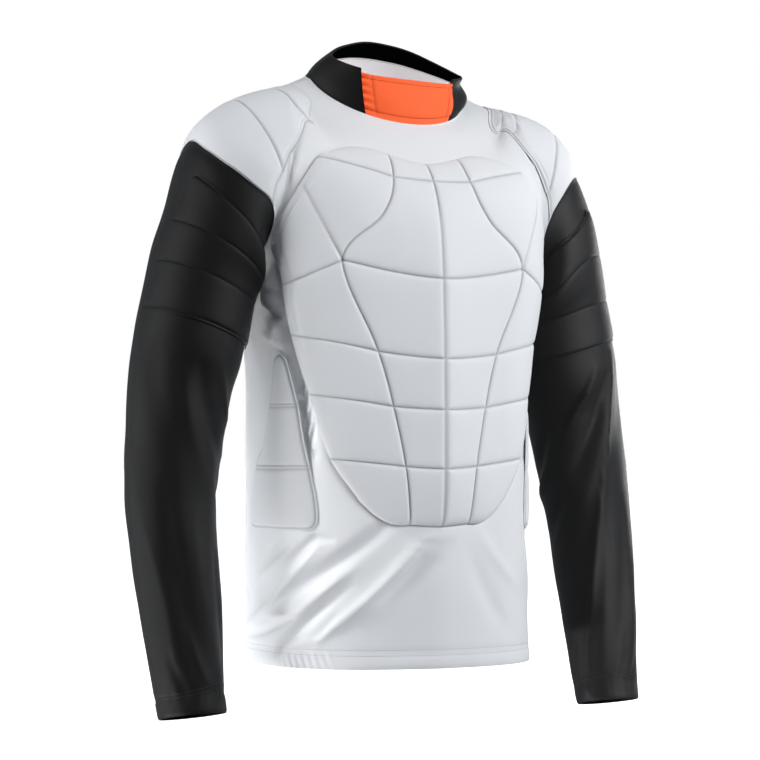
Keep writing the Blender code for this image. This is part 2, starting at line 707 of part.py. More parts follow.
def build():
    clear_scene()
    group = bpy.data.collections.new("padded_vest")
    bpy.context.scene.collection.children.link(group)
    band, insert = collar_grids()
    # name: grid, closed round, which way its squares face, kind
    patches = {
        "front_body": (body_grid(-1, FRONT_COLUMNS), False, 1, "body"),
        "back_body": (body_grid(1, BACK_COLUMNS), False, -1, "body"),
        "collar_band": (band, False, 1, "collar"),
        "collar_front": (insert, False, 1, "collar"),
    }
    for side, word in ((-1, "right"), (1, "left")):
        patches["shoulder_cap_" + word] = (cap_grid(side), True, side, "cap")
        patches["sleeve_" + word] = (sleeve_grid(side), True, side, "sleeve")
    normals = shared_normals(patches)
    for name, (grid, closed, _, kind) in patches.items():
        thick = np.full(grid.shape[:2], SLEEVE_CLOTH)
        colour = WHITE
        gap = SEAM_GAP
        if kind == "body":
            thick[:] = BODY_CLOTH
            thick[0] = TURNED_HEM
        if kind == "collar":
            thick[:] = COLLAR_CLOTH
            colour = ORANGE if name.endswith("front") else BLACK
            gap = COLLAR_SEAM_GAP
        if kind == "sleeve":
            thick[-3:] = TURNED_HEM
            colour = BLACK
        outer = step_in(grid, closed, gap)
        inner = outer - normals[name] * thick[..., None]
        if kind == "collar":
            roll = (outer[-1] - inner[-1]) * TOP_ROLL
            outer[-1] = outer[-1] - roll
            inner[-1] = inner[-1] + roll
        make_solid(name, outer, inner, closed, colour, group)
    tree = panel_tree(patches)
    chest_pad(group, tree)
    for side, word in ((-1, "right"), (1, "left")):
        side_pad(side, "side_pad_" + word, group, tree)
        shoulder_pad(side, "shoulder_pad_" + word, group, tree)
        arm_pad(side, "arm_pad_" + word, group, tree)


build()
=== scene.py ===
# %% [markdown]
# # A long-sleeved padded vest
# The vest stands hollow, as if somebody invisible wore it: white knit trunk and shoulder caps, black
# sleeves, a stand-up collar with an orange front, and quilted foam pads on chest, flanks, shoulders
# and upper arms. The solids hold its sizes. This lesson dresses them: every panel is made again on
# the same form, finer, with its folds, seams, stitches and cloth.

# %% Load the solids
import math

import bpy
import numpy as np
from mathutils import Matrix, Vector, noise
from mathutils.kdtree import KDTree


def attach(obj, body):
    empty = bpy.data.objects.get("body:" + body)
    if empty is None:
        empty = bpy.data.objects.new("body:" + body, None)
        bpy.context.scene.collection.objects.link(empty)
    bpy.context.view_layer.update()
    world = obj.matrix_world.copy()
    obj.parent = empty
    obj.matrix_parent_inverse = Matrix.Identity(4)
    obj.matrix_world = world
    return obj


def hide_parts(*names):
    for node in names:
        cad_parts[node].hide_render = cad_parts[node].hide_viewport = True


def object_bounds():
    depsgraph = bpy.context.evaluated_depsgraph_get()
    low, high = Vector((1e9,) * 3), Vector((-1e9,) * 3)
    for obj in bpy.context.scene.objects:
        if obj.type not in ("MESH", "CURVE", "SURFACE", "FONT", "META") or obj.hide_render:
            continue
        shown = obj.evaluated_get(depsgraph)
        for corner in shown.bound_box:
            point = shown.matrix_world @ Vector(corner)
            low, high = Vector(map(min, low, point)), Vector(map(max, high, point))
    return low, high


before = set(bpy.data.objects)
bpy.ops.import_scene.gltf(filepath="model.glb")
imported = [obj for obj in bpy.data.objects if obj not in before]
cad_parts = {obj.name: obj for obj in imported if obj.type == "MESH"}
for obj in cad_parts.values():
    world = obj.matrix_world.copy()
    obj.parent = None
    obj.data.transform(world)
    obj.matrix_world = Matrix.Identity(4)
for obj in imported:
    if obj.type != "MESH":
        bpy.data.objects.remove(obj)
cad_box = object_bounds()
SIDES = ((-1, "right"), (1, "left"))


def stand(name, data):
    """A new object in the scene."""
    thing = bpy.data.objects.new(name, data)
    bpy.context.scene.collection.objects.link(thing)
    return thing


print("solids:", len(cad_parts), "nodes")

# %% [markdown]
# ## Camera
# The photo was taken a little to the wearer's right, below chest height, with a long lens. A long
# lens is a large focal length far away, so the two sleeves keep nearly the same size.

# %% Place the camera
AZIMUTH = math.radians(-30)
DISTANCE = 2.53
EYE_HEIGHT = -0.421
SENSOR = 36.0
# In pixels of the picture: its width, the lens, and where its middle lies from the eye's level
FRAME, PIXELS = 760.0, 2138.0
MIDDLE_UP, MIDDLE_ASIDE, PIXELS_PER_METRE = 70, -6, 845
TILT = math.atan(MIDDLE_UP / PIXELS)
ASIDE = MIDDLE_ASIDE / PIXELS_PER_METRE

lens = bpy.data.cameras.new("photo_camera")
lens.sensor_width = SENSOR
lens.lens = PIXELS * SENSOR / FRAME
camera = stand("photo_camera", lens)
camera.location = (
    math.sin(AZIMUTH) * DISTANCE + math.cos(AZIMUTH) * ASIDE,
    -math.cos(AZIMUTH) * DISTANCE + math.sin(AZIMUTH) * ASIDE,
    EYE_HEIGHT,
)
camera.rotation_euler = (math.pi / 2 + TILT, 0, AZIMUTH)
bpy.context.scene.camera = camera
print("camera: %.0f mm lens, %.2f m away" % (lens.lens, DISTANCE))

# %% [markdown]
# ## Shader maths
# A knit is built from a few bands and some noise, put together with plain arithmetic. One small
# class wraps a socket, so that `1 - band * 0.3` adds the Math nodes by itself. Every other node
# comes from its `node` method.


# %% A socket to calculate with
class Yarn:
    """One output socket of a material, or the bare material when socket is None."""

    def __init__(self, tree, socket=None):
        self.tree = tree
        self.socket = socket

    def node(self, kind, settings=None, inputs=None, output=0):
        made = self.tree.nodes.new(kind)
        for name, value in (settings or {}).items():
            setattr(made, name, value)
        self.dress(made, inputs or {})
        return Yarn(self.tree, made.outputs[output])

    def dress(self, made, inputs):
        """Give a node's sockets their values or links."""
        for name, value in inputs.items():
            if isinstance(value, Yarn):
                self.tree.links.new(value.socket, made.inputs[name])
            else:
                made.inputs[name].default_value = value

    def mix(self, share, first, second):
        """The first colour, turned into the second by a share."""
        inputs = {0: share, 6: first, 7: second}
        return self.node("ShaderNodeMix", {"data_type": "RGBA"}, inputs, 2)

    def maths(self, operation, first, second):
        return self.node("ShaderNodeMath", {"operation": operation}, {0: first, 1: second})

    def __add__(self, other):
        return self.maths("ADD", self, other)

    def __sub__(self, other):
        return self.maths("SUBTRACT", self, other)

    def __rsub__(self, other):
        return self.maths("SUBTRACT", other, self)

    def __mul__(self, other):
        return self.maths("MULTIPLY", self, other)

    __radd__, __rmul__ = __add__, __mul__


print("shader maths ready")

# %% [markdown]
# ## Knit cloth
# The panels are a fine sports knit: ribs of loops about a millimetre wide run up the cloth and rows
# of loops run across it. Close to, they catch the light as a soft grain; from where the photo was
# taken they only make the cloth look matt with a sheen at its edges. The bands are read from a flat
# map in metres, so they follow each piece round the body. Along a pad's sewn lines the colour is
# darkened as painted shade of the crease; the pads carry those lines as an attribute.

# %% Make the cloth finishes
BAND_SCALE = 2 * math.pi / 20
ROW_TALL, ROW_WOBBLE = 0.8, 0.4
RIB_SHARE, ROW_SHARE, FUZZ_SHARE = 0.55, 0.30, 0.35
# Scale and detail of the noise
SLOW_NOISE, FUZZ_NOISE = (9.0, 3.0), (1400.0, 2.0)
SLOW_SHADE, LOOP_SHADE = 0.55, 0.25
ROUGH_CHANGE = 0.08
LOOP_DEEP = 0.25
# How dark the painted shade along a pad's sewn lines is
PAINTED_CREASE_SHADE = 0.68


def new_finish(name):
    material = bpy.data.materials.new(name)
    material.use_nodes = True
    shader = material.node_tree.nodes["Principled BSDF"]
    return material, shader, Yarn(material.node_tree)


def darker(colour, by):
    return tuple(c * by for c in colour) + (1,)


def knit(name, colour, shade, rough, sheen, sheen_rough, wale, grain, gloss, tint=(1, 1, 1), painted_glow=0.0):
    """A knit: colour and shade are mixed by slow noise, wale is the width of one rib of loops, glow is a
    painted glow.
    """
    material, shader, start = new_finish(name)
    flat = start.node("ShaderNodeUVMap", {"uv_map": "flat"})
    place = start.node("ShaderNodeTexCoord", output="Object")

    def bands(way, wide, wobble):
        inputs = {"Vector": flat, "Scale": BAND_SCALE / wide, "Distortion": wobble}
        settings = {"wave_type": "BANDS", "bands_direction": way}
        return start.node("ShaderNodeTexWave", settings, inputs, 1)

    def uneven(scale, detail):
        inputs = {"Vector": place, "Scale": scale, "Detail": detail}
        return start.node("ShaderNodeTexNoise", None, inputs)

    ribs, rows = bands("X", wale, 0.0), bands("Y", wale * ROW_TALL, ROW_WOBBLE)
    slow, fuzz = uneven(*SLOW_NOISE), uneven(*FUZZ_NOISE)
    loops = ribs * RIB_SHARE + rows * ROW_SHARE + fuzz * FUZZ_SHARE
    cloth_colour = start.mix(slow * SLOW_SHADE + (1 - loops) * LOOP_SHADE, colour + (1,), shade + (1,))
    # Where a pad's lines are sewn the colour is darkened: painted crease shade
    line = start.node("ShaderNodeAttribute", {"attribute_name": "crease_shade"}, output="Fac")
    bump = {"Strength": grain, "Distance": wale * LOOP_DEEP, "Height": loops}
    looks = {
        "Base Color": start.mix(line, cloth_colour, darker(shade, PAINTED_CREASE_SHADE)),
        "Roughness": rough + (slow - 0.5) * ROUGH_CHANGE,
        "Normal": start.node("ShaderNodeBump", None, bump),
        "Sheen Weight": sheen,
        "Sheen Roughness": sheen_rough,
        "Sheen Tint": tint + (1,),
        "Specular IOR Level": gloss,
        # Emission of the cloth's own colour: a painted glow
        "Emission Color": colour + (1,),
        "Emission Strength": painted_glow,
    }
    start.dress(shader, looks)
    return material


# Colour, shade, roughness, sheen and its roughness, width of a rib, grain and gloss
KNITS = {
    "white_knit": ((0.80, 0.81, 0.83), (0.74, 0.755, 0.785), 0.50, 0.10, 0.4, 0.0011, 0.35, 0.30),
    "white_pad": ((0.79, 0.80, 0.825), (0.74, 0.755, 0.785), 0.52, 0.08, 0.4, 0.0011, 0.30, 0.26),
    "black_knit": ((0.0070, 0.0070, 0.0074), (0.005, 0.005, 0.0054), 0.50, 0.15, 0.3, 0.0010, 0.45, 0.15),
    "black_pad": ((0.0075, 0.0075, 0.008), (0.006, 0.006, 0.0065), 0.50, 0.14, 0.3, 0.0010, 0.45, 0.15),
    # A far darker copy of the black knit for the inside of the collar: painted shade
    "black_shaded_facing": ((0.0012, 0.0012, 0.0013), (0.001, 0.001, 0.0011), 0.9, 0.0, 0.4, 0.0010, 0.4, 0.0),
    "orange_knit": ((0.94, 0.135, 0.035), (0.86, 0.105, 0.025), 0.6, 0.10, 0.4, 0.0012, 0.4, 0.18),
}
# The orange front gets a painted glow, so it looks brighter than its lit colour
ORANGE_SHEEN, ORANGE_PAINTED_GLOW = (1, 0.5, 0.3), 0.22
KNITS["orange_knit"] += (ORANGE_SHEEN, ORANGE_PAINTED_GLOW)
FINISH = {name: knit(name, *looks) for name, looks in KNITS.items()}
print("finishes:", ", ".join(FINISH))

# %% [markdown]
# ## Sewing thread
# Thread is twisted, so its finish has fine slanting bands. The white thread is a little greyer than
# the cloth because it lies in its own small shadows.

# %% Make the thread finishes
TWIST_SCALE, TWIST_WOBBLE, TWIST_DEEP = 900.0, 1.0, 0.0001
TWIST_DARK, TWIST_SHADE, TWIST_ROUGH = 0.6, 0.5, 0.1
THREADS = {
    "white_thread": ((0.70, 0.715, 0.74), 0.5),
    "black_thread": ((0.012, 0.012, 0.013), 0.45),
    "orange_thread": ((0.42, 0.03, 0.008), 0.5),
}


def thread(name, colour, rough):
    material, shader, start = new_finish(name)
    place = start.node("ShaderNodeTexCoord", output="Object")
    slant = {"Vector": place, "Scale": TWIST_SCALE, "Distortion": TWIST_WOBBLE}
    twist = start.node("ShaderNodeTexWave", {"bands_direction": "DIAGONAL"}, slant, 1)
    looks = {
        "Base Color": start.mix(twist * TWIST_SHADE, colour + (1,), darker(colour, TWIST_DARK)),
        "Roughness": rough + twist * TWIST_ROUGH,
        "Normal": start.node("ShaderNodeBump", None, {"Distance": TWIST_DEEP, "Height": twist}),
    }
    start.dress(shader, looks)
    return material


for name, (colour, rough) in THREADS.items():
    FINISH[name] = thread(name, colour, rough)
print("threads:", ", ".join(THREADS))

# %% [markdown]
# ## The cut of the vest
# Short tables hold the cut: rings up the trunk, rings along a sleeve, the line where black meets
# white, and the collar's top edge. They start from the sizes that the solids were worked out from,
# and a few were then fitted closer to the photo. A smooth curve is drawn through each column.


# %% The tables of the cut
def table(columns, *rows):
    return np.array(list(rows), dtype=[(name, float) for name in columns.split()])


TORSO = table(
    "t z_front y_front z_back y_back x_side z_side square_front square_back keel seam",
    (0.00, -0.6680, -0.1175, -0.6650, 0.1170, 0.1760, -0.6660, 2.6, 2.6, 0.004, 20),
    (0.27, -0.5500, -0.1150, -0.5500, 0.1150, 0.1665, -0.5500, 2.9, 2.8, 0.009, 18),
    (0.55, -0.4200, -0.1125, -0.4200, 0.1130, 0.1640, -0.4200, 3.2, 2.9, 0.014, 14),
    (0.80, -0.3120, -0.1115, -0.3100, 0.1150, 0.1680, -0.3080, 3.3, 2.7, 0.014, 8),
    (1.00, -0.2300, -0.1110, -0.2250, 0.1180, 0.1845, -0.2097, 3.3, 2.5, 0.012, 0),
    (1.50, -0.1320, -0.1040, -0.1250, 0.1160, 0.1685, -0.1090, 3.0, 2.5, 0.003, 0),
    (2.00, -0.0760, -0.0790, -0.0300, 0.1020, 0.1525, -0.0083, 2.4, 2.4, 0.000, 0),
    (3.00, -0.0420, -0.0603, 0.0360, 0.0720, 0.1000, 0.0120, 2.0, 2.0, 0.000, 0),
)
ARMPIT, SHOULDER_TIP, NECK = 1.0, 2.0, 3.0
SLEEVE = table(
    "s x y z lean forward half_out half_fore left_x left_z",
    (0.0, 0.1685, 0.0040, -0.1090, -9, 0.0, 0.1020, 0.0790, 0.000, 0.000),
    (1.0, 0.2010, 0.0020, -0.1255, 7.75, 0.0, 0.0930, 0.0765, 0.004, 0.004),
    (2.0, 0.2225, 0.0000, -0.1520, 24.5, 0.0, 0.0825, 0.0725, 0.006, -0.016),
    (3.0, 0.2330, -0.0010, -0.1899, 41.7, 0.0, 0.0680, 0.0680, 0.006, -0.020),
    (4.0, 0.2425, 0.0020, -0.2335, 63, 0.0, 0.0630, 0.0650, 0.003, -0.020),
    (5.0, 0.2584, -0.0010, -0.3060, 75, 1.0, 0.0625, 0.0635, 0.000, -0.020),
    (6.0, 0.2702, -0.0010, -0.3650, 78, 4.0, 0.0578, 0.0578, 0.000, -0.020),
    (7.0, 0.2832, -0.0112, -0.4800, 84, 9.0, 0.0511, 0.0519, 0.000, -0.020),
    (8.0, 0.2818, -0.0350, -0.5950, 90, 11.5, 0.0454, 0.0459, 0.000, -0.020),
    (9.0, 0.2784, -0.0565, -0.7000, 91, 11.5, 0.0375, 0.0380, 0.000, -0.018),
    (9.2, 0.2781, -0.0597, -0.7110, 91, 11.5, 0.0365, 0.0370, 0.000, -0.016),
)
SLEEVE_END = 9.2
BLACK_SEAM = table(
    "turn right left",
    (0, 1.92, 1.82),
    (30, 2.00, 1.74),
    (60, 1.84, 1.36),
    (90, 1.24, 0.86),
    (105, 0.66, 0.52),
    (118, 0.34, 0.32),
    (150, 0.55, 0.55),
    (180, 0.90, 0.90),
)
COLLAR_TOP = table(
    "turn x y z",
    (0, 0.0925, -0.0180, 0.0300),
    (45, 0.0660, -0.0455, 0.0185),
    (90, 0.0000, -0.0580, 0.0165),
    (135, -0.0605, -0.0495, 0.0206),
    (180, -0.0790, -0.0100, 0.0400),
    (225, -0.0500, 0.0150, 0.0588),
    (270, -0.0040, 0.0270, 0.0695),
    (315, 0.0480, 0.0185, 0.0600),
    (360, 0.0925, -0.0180, 0.0300),
)
print("tables:", len(TORSO), "trunk rings,", len(SLEEVE), "sleeve rings")

# %% [markdown]
# ## Points of the form
# Each panel is a rule that turns two numbers into a place: across and up for the trunk, round and
# along for a sleeve. A finer panel is then only a finer set of numbers, and it lies where the solid
# lies. A few small measures come first, because every later step uses them.


# %% Curves and small measures
def within(value):
    """A value held between 0 and 1."""
    return np.clip(value, 0, 1)


def soft_step(value):
    """A climb from 0 to 1 that starts and ends gently."""
    return value * value * (3 - 2 * value)


def bell(far, wide):
    """1 on a line, and next to nothing two widths away from it."""
    return np.exp(-((far / wide) ** 2))


def unit(way):
    return way / np.maximum(np.linalg.norm(way, axis=-1, keepdims=True), 1e-12)


def run(grid, axis=0):
    """Metres gone along a line, or along the rows or the columns of a grid."""
    steps = np.diff(grid, axis=axis, prepend=grid.take([0], axis))
    return np.cumsum(np.linalg.norm(steps, axis=-1), axis=axis)


def smooth(knots, values, at):
    """A curve through a table column, with each slope taken from the rows on both sides."""
    slopes = np.gradient(values, knots)
    at = np.clip(np.asarray(at, float), knots[0], knots[-1])
    k = np.clip(np.searchsorted(knots, at, side="right") - 1, 0, len(knots) - 2)
    span = knots[k + 1] - knots[k]
    f = (at - knots[k]) / span
    start = (1 + 2 * f) * (1 - f) ** 2 * values[k] + f * (1 - f) ** 2 * span * slopes[k]
    end = f * f * (3 - 2 * f) * values[k + 1] - f * f * (1 - f) * span * slopes[k + 1]
    return start + end


def read(rows, key, at):
    """All columns of a table, read at places of its key column."""
    return {name: smooth(rows[key], rows[name], at) for name in rows.dtype.names}


print("half way up the trunk it is %.0f mm wide" % (2000 * smooth(TORSO["t"], TORSO["x_side"], 0.5)))

# %% Points of a sleeve
# How much fuller the cloth is under the arm, and where
UNDERARM, UNDERARM_TURN, UNDERARM_SPREAD, UNDERARM_S, UNDERARM_LONG = 0.20, 142.0, 34.0, 2.25, 1.2


def sleeve_point(side, turn, s):
    """side is -1 right or 1 left; turn is 0 outside, 90 fore and 180 under the arm; s runs down."""
    left = 0.5 + 0.5 * side
    value = read(SLEEVE, "s", s)
    lean, forward = np.radians(value["lean"]), np.radians(value["forward"])
    under = bell(turn - UNDERARM_TURN, UNDERARM_SPREAD) * bell(s - UNDERARM_S, UNDERARM_LONG)
    fuller = 1 + UNDERARM * under
    out = value["half_out"] * fuller * np.cos(np.radians(turn))
    fore = value["half_fore"] * fuller * np.sin(np.radians(turn))
    x = value["x"] + left * value["left_x"] + out * np.sin(lean)
    y = value["y"] - fore * np.cos(forward)
    z = value["z"] + left * value["left_z"] + out * np.cos(lean) + fore * np.sin(forward)
    return np.stack([side * x, y, z], axis=-1)


def black_seam(side, turn):
    """How far down the sleeve the white cap ends."""
    folded = 180 - np.abs(180 - np.mod(turn, 360.0))
    knots = BLACK_SEAM["turn"]
    knots = np.concatenate([[-knots[1]], knots, [360 - knots[-2]]])
    values = BLACK_SEAM["right" if side < 0 else "left"]
    values = np.concatenate([[values[1]], values, [values[-2]]])
    return smooth(knots, values, folded)


print("cuffs are at z = %.3f and %.3f" % tuple(sleeve_point(side, 90.0, SLEEVE_END)[2] for side, _ in SIDES))

# %% Points of the trunk
SIDE_Y = 0.004
HEM_TILT, HEM_TILT_POWER = 0.020, 1.5
KEEL_WIDTH, KEEL_POWER = 0.085, 1.5
MOST_HOLE_SHARE = 0.98
# The front panel arches up beside the armhole: how much, from which ring, and how near the edge
ARCH, ARCH_FROM, ARCH_END = 1.18, 1.7, 1.5
BESIDE_FROM, BESIDE_LONG = 0.5, 0.35
# The bend over the shoulder is a mean of rings below and above, each with its share
EASE_LONG = 0.45
EASE_STEPS = (
    (-0.18, 0.14), (-0.11, 0.16), (-0.05, 0.14), (0.0, 0.12), (0.05, 0.14), (0.11, 0.16), (0.18, 0.14),
)


def torso(name, t):
    return smooth(TORSO["t"], TORSO[name], t)


def panel_edge(face, t):
    """Half width, height, angle and depth of a panel's edge on the ring at t."""
    t = np.asarray(t, float)
    word = "front" if face < 0 else "back"
    square = torso("square_" + word, t)
    depth = torso("y_" + word, t) - SIDE_Y
    hole = sleeve_point(1, -face * 180.0 * within(SHOULDER_TIP - t), 0.0 * t)
    climb = within(t - SHOULDER_TIP)

    def edge_of(name, armhole):
        above = armhole * (1 - climb) + TORSO[name][-1] * climb
        return np.where(t > ARMPIT, above, torso(name, t))

    share = np.clip((hole[..., 1] - SIDE_Y) / depth, 0.0, MOST_HOLE_SHARE)
    share = np.where((t > ARMPIT) & (t < SHOULDER_TIP), share, 0.0)
    angle = np.arcsin(share ** (square / 2))
    widest = edge_of("x_side", hole[..., 0]) / np.cos(angle) ** (2 / square)
    angle = np.where(t < ARMPIT, face * np.radians(torso("seam", t)), angle)
    return widest, edge_of("z_side", hole[..., 2]), angle, SIDE_Y + share * depth


def ring_point(face, side, angle, t):
    """A point of a trunk ring, at an angle from the widest place towards the middle of a face."""
    widest, z_edge, least, y_edge = panel_edge(face, t)
    behind = angle < 0
    front = (face < 0) ^ behind

    def facing(name):
        return np.where(front, torso(name + "_front", t), torso(name + "_back", t))

    square, y_mid, z_mid = facing("square"), facing("y"), facing("z")
    x = widest * np.abs(np.cos(angle)) ** (2 / square)
    y = SIDE_Y + (y_mid - SIDE_Y) * np.abs(np.sin(angle)) ** (2 / square)
    straight = (y - y_mid) / (np.where(behind, SIDE_Y, y_edge) - y_mid)
    rise = within(straight)
    climb = within((t - ARCH_FROM) / (SHOULDER_TIP - ARCH_FROM)) ** 2
    arch = ARCH * np.where(t < SHOULDER_TIP, climb, within(NECK - t) ** ARCH_END)
    beside = (np.pi / 2 - angle) / (np.pi / 2 - least)
    beside = soft_step(within((beside - BESIDE_FROM) / BESIDE_LONG))
    arched = 1 - (1 - rise) ** (1 + arch)
    z = z_mid + (z_edge - z_mid) * np.where(front, rise + (arched - rise) * beside, straight)
    ridge = within(1 - x / KEEL_WIDTH) ** KEEL_POWER
    y = y - np.where(front, torso("keel", t) * ridge, 0.0)
    z = z - HEM_TILT * side * x * within(ARMPIT - t) ** HEM_TILT_POWER
    return np.stack(np.broadcast_arrays(side * x, y, z), axis=-1)


def sharp_panel_point(face, w, t):
    edge = panel_edge(face, t)[2]
    angle = np.pi / 2 - np.abs(w) * (np.pi / 2 - edge)
    return ring_point(face, np.where(w < 0, -1.0, 1.0), angle, t)


def panel_point(face, w, t):
    """face is -1 front or 1 back, w runs from the right edge to the left, t from hem to neck."""
    w, t = np.broadcast_arrays(np.asarray(w, float), np.asarray(t, float))
    here = sharp_panel_point(face, w, t)
    soft = bell(t - SHOULDER_TIP, EASE_LONG) * (1 - np.abs(w) ** 3)
    rings = [(np.clip(t + step, 0, NECK), share) for step, share in EASE_STEPS]
    mean = sum(share * sharp_panel_point(face, w, ring) for ring, share in rings)
    return here + (mean - here) * soft[..., None]


print("hem is at z = %.3f" % panel_point(-1, 0.0, 0.0)[2])

# %% [markdown]
# ## From points to cloth
# A panel is a grid of points. Its normals say which way is out, so folds and seams push points
# along them. The cloth gets a second skin just inside and a narrow edge that joins the two, because
# cloth seen at a hem or a neck has a thickness. A flat map in metres goes along for the knit.

# %% Skin a grid into a wall
SHARP = math.radians(60)


def grid_normals(grid, closed, flip):
    if closed:
        across = np.roll(grid, -1, axis=1) - np.roll(grid, 1, axis=1)
    else:
        across = np.gradient(grid, axis=1)
    return unit(np.cross(across, np.gradient(grid, axis=0))) * flip


def flat_map(grid):
    """Metres across and up the cloth at each point, measured along the grid."""
    u = run(grid, 1)
    return np.stack([u - u[:, -1:] / 2, run(grid)], axis=-1)


def add_piece(name, points, faces, finish):
    mesh = bpy.data.meshes.new(name)
    mesh.from_pydata(points.tolist(), [], faces)
    mesh.shade_smooth()
    mesh.materials.append(FINISH[finish])
    piece = stand(name, mesh)
    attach(piece, "root")
    return piece


def skin(name, outer, inner, closed, flip, finish):
    """One closed wall between an outer and an inner grid."""
    rows, columns = outer.shape[:2]
    count = rows * columns
    first = np.arange(columns if closed else columns - 1)
    then = (first + 1) % columns
    row = np.arange(rows - 1)[:, None] * columns
    quad = np.stack([row + first, row + then, row + columns + then, row + columns + first], -1)
    quad = quad.reshape(-1, 4)
    faces = [quad, quad[:, ::-1] + count]
    last = (rows - 1) * columns
    rims = [(first, then), (last + then, last + first)]
    if not closed:
        row = row[:, 0]
        rims += [(row + columns, row), (row + columns - 1, row + 2 * columns - 1)]
    faces += [np.stack([b, a, a + count, b + count], -1) for a, b in rims]
    faces = np.concatenate(faces)[:, ::flip]
    points = np.concatenate([outer.reshape(-1, 3), inner.reshape(-1, 3)])
    piece = add_piece(name, points, faces.tolist(), finish)
    flat = np.tile(flat_map(outer).reshape(-1, 2), (2, 1))
    layer = piece.data.uv_layers.new(name="flat")
    layer.data.foreach_set("uv", flat[faces.reshape(-1)].astype(np.float32).reshape(-1))
    piece.data.set_sharp_from_angle(angle=SHARP)
    return piece


print("a wall is an outer skin, an inner skin and a rim")

# %% Make a piece of cloth
CUTS = {}


def cut_size(grid, closed):
    """Width, length and area of the cloth as it was cut, before it was sewn and worn."""
    ring = np.concatenate([grid, grid[:, :1]], axis=1) if closed else grid
    width, length = run(ring, 1)[:, -1].max(), run(grid)[-1].max()
    rising, falling = ring[1:, 1:] - ring[:-1, :-1], ring[1:, :-1] - ring[:-1, 1:]
    area = 0.5 * np.linalg.norm(np.cross(rising, falling), axis=-1).sum()
    return (float(width), float(length)), float(min(area, width * length))


def declare_cloth(piece, name, base, closed):
    """Keep and print how large the cloth was cut, and hide the solid that it takes the place of."""
    flat, area = cut_size(base, closed)
    CUTS[name] = flat
    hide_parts(name)
    size = (flat[0] * 1000, flat[1] * 1000, len(piece.data.polygons))
    print(name + ": cut %.0f x %.0f mm, %d faces" % size)


def cloth(name, base, push, closed, flip, thick, finish):
    """A cloth panel on its base grid, pushed out or in by its folds, with its cut size kept and printed."""
    normal = grid_normals(base, closed, flip)
    outer = base + normal * push[..., None]
    piece = skin(name + "_cloth", outer, outer - normal * thick, closed, flip, finish)
    declare_cloth(piece, name, base, closed)
    return outer, normal


# %% [markdown]
# ## Folds
# Cloth folds are soft ridges and troughs. Each one here runs along a slightly bowed line, is highest
# in its middle and dies out at both ends. A trough's cross-section is a bell and a ridge has a
# narrower crest, because stretched knit stands up in thin edges. They were placed where the photo
# shows them, with similar ones on the sides that it doesn't show. On the trunk a place is a turn
# round it (0 front, -90 right side, 180 back) and a height.

# %% Draw a fold
FOLD_STEPS = 64
FOLD_END, FOLD_TAPER = 0.05, 0.6
FOLD_START_WIDE, FOLD_WIDENS = 0.75, 0.5
CREST, CREST_FALL = 0.35, 0.62
# How fine and how high the slow unevenness of each piece is
GRAIN = {
    "chest": (40, 0.0003),
    "body": (22, 0.0006),
    "cap": (26, 0.0005),
    "sleeve": (24, 0.0007),
    "band": (30, 0.0008),
    "insert": (60, 0.0005),
}


def fold_height(u, v, folds):
    """Sum of folds over a flat map u, v in metres. Each fold: from, to, bow, half width, height."""
    total = np.zeros_like(u)
    for start, end, bow, wide, high in folds:
        along = np.subtract(end, start)
        aside = np.array([-along[1], along[0]])
        best = np.zeros_like(u)
        for f in np.linspace(0, 1, FOLD_STEPS):
            at = np.array(start) + along * f + aside * bow * 4 * f * (1 - f)
            taper = math.sin(math.pi * (FOLD_END + (1 - 2 * FOLD_END) * f)) ** FOLD_TAPER
            swell = wide * (FOLD_START_WIDE + FOLD_WIDENS * f)
            apart = (u - at[0]) ** 2 + (v - at[1]) ** 2
            if high > 0:
                tip = CREST * swell
                near = np.exp((tip - np.sqrt(apart + tip**2)) / (CREST_FALL * swell))
            else:
                near = np.exp(-apart / swell**2)
            best = np.maximum(best, taper * near)
        total += high * best
    return total


def fold_from(row, start, end, scale=1.0):
    """A row of a table of folds, between two places of the flat map."""
    return start, end, row["bow"], row["wide"] / 1000, row["high"] * scale / 1000


def grain_of(points, piece):
    """Slow unevenness, the same on every run."""
    scale, high = GRAIN[piece]
    flat = points.reshape(-1, 3) * scale
    return high * np.array([noise.noise(Vector(p)) for p in flat]).reshape(points.shape[:-1])


print("a fold is drawn with", FOLD_STEPS, "steps")

# %% Place the trunk's folds
TRUNK_HALF = (0.170, 0.115)
TRUNK_DEGREE = 0.0026
BACK_TURN = 120
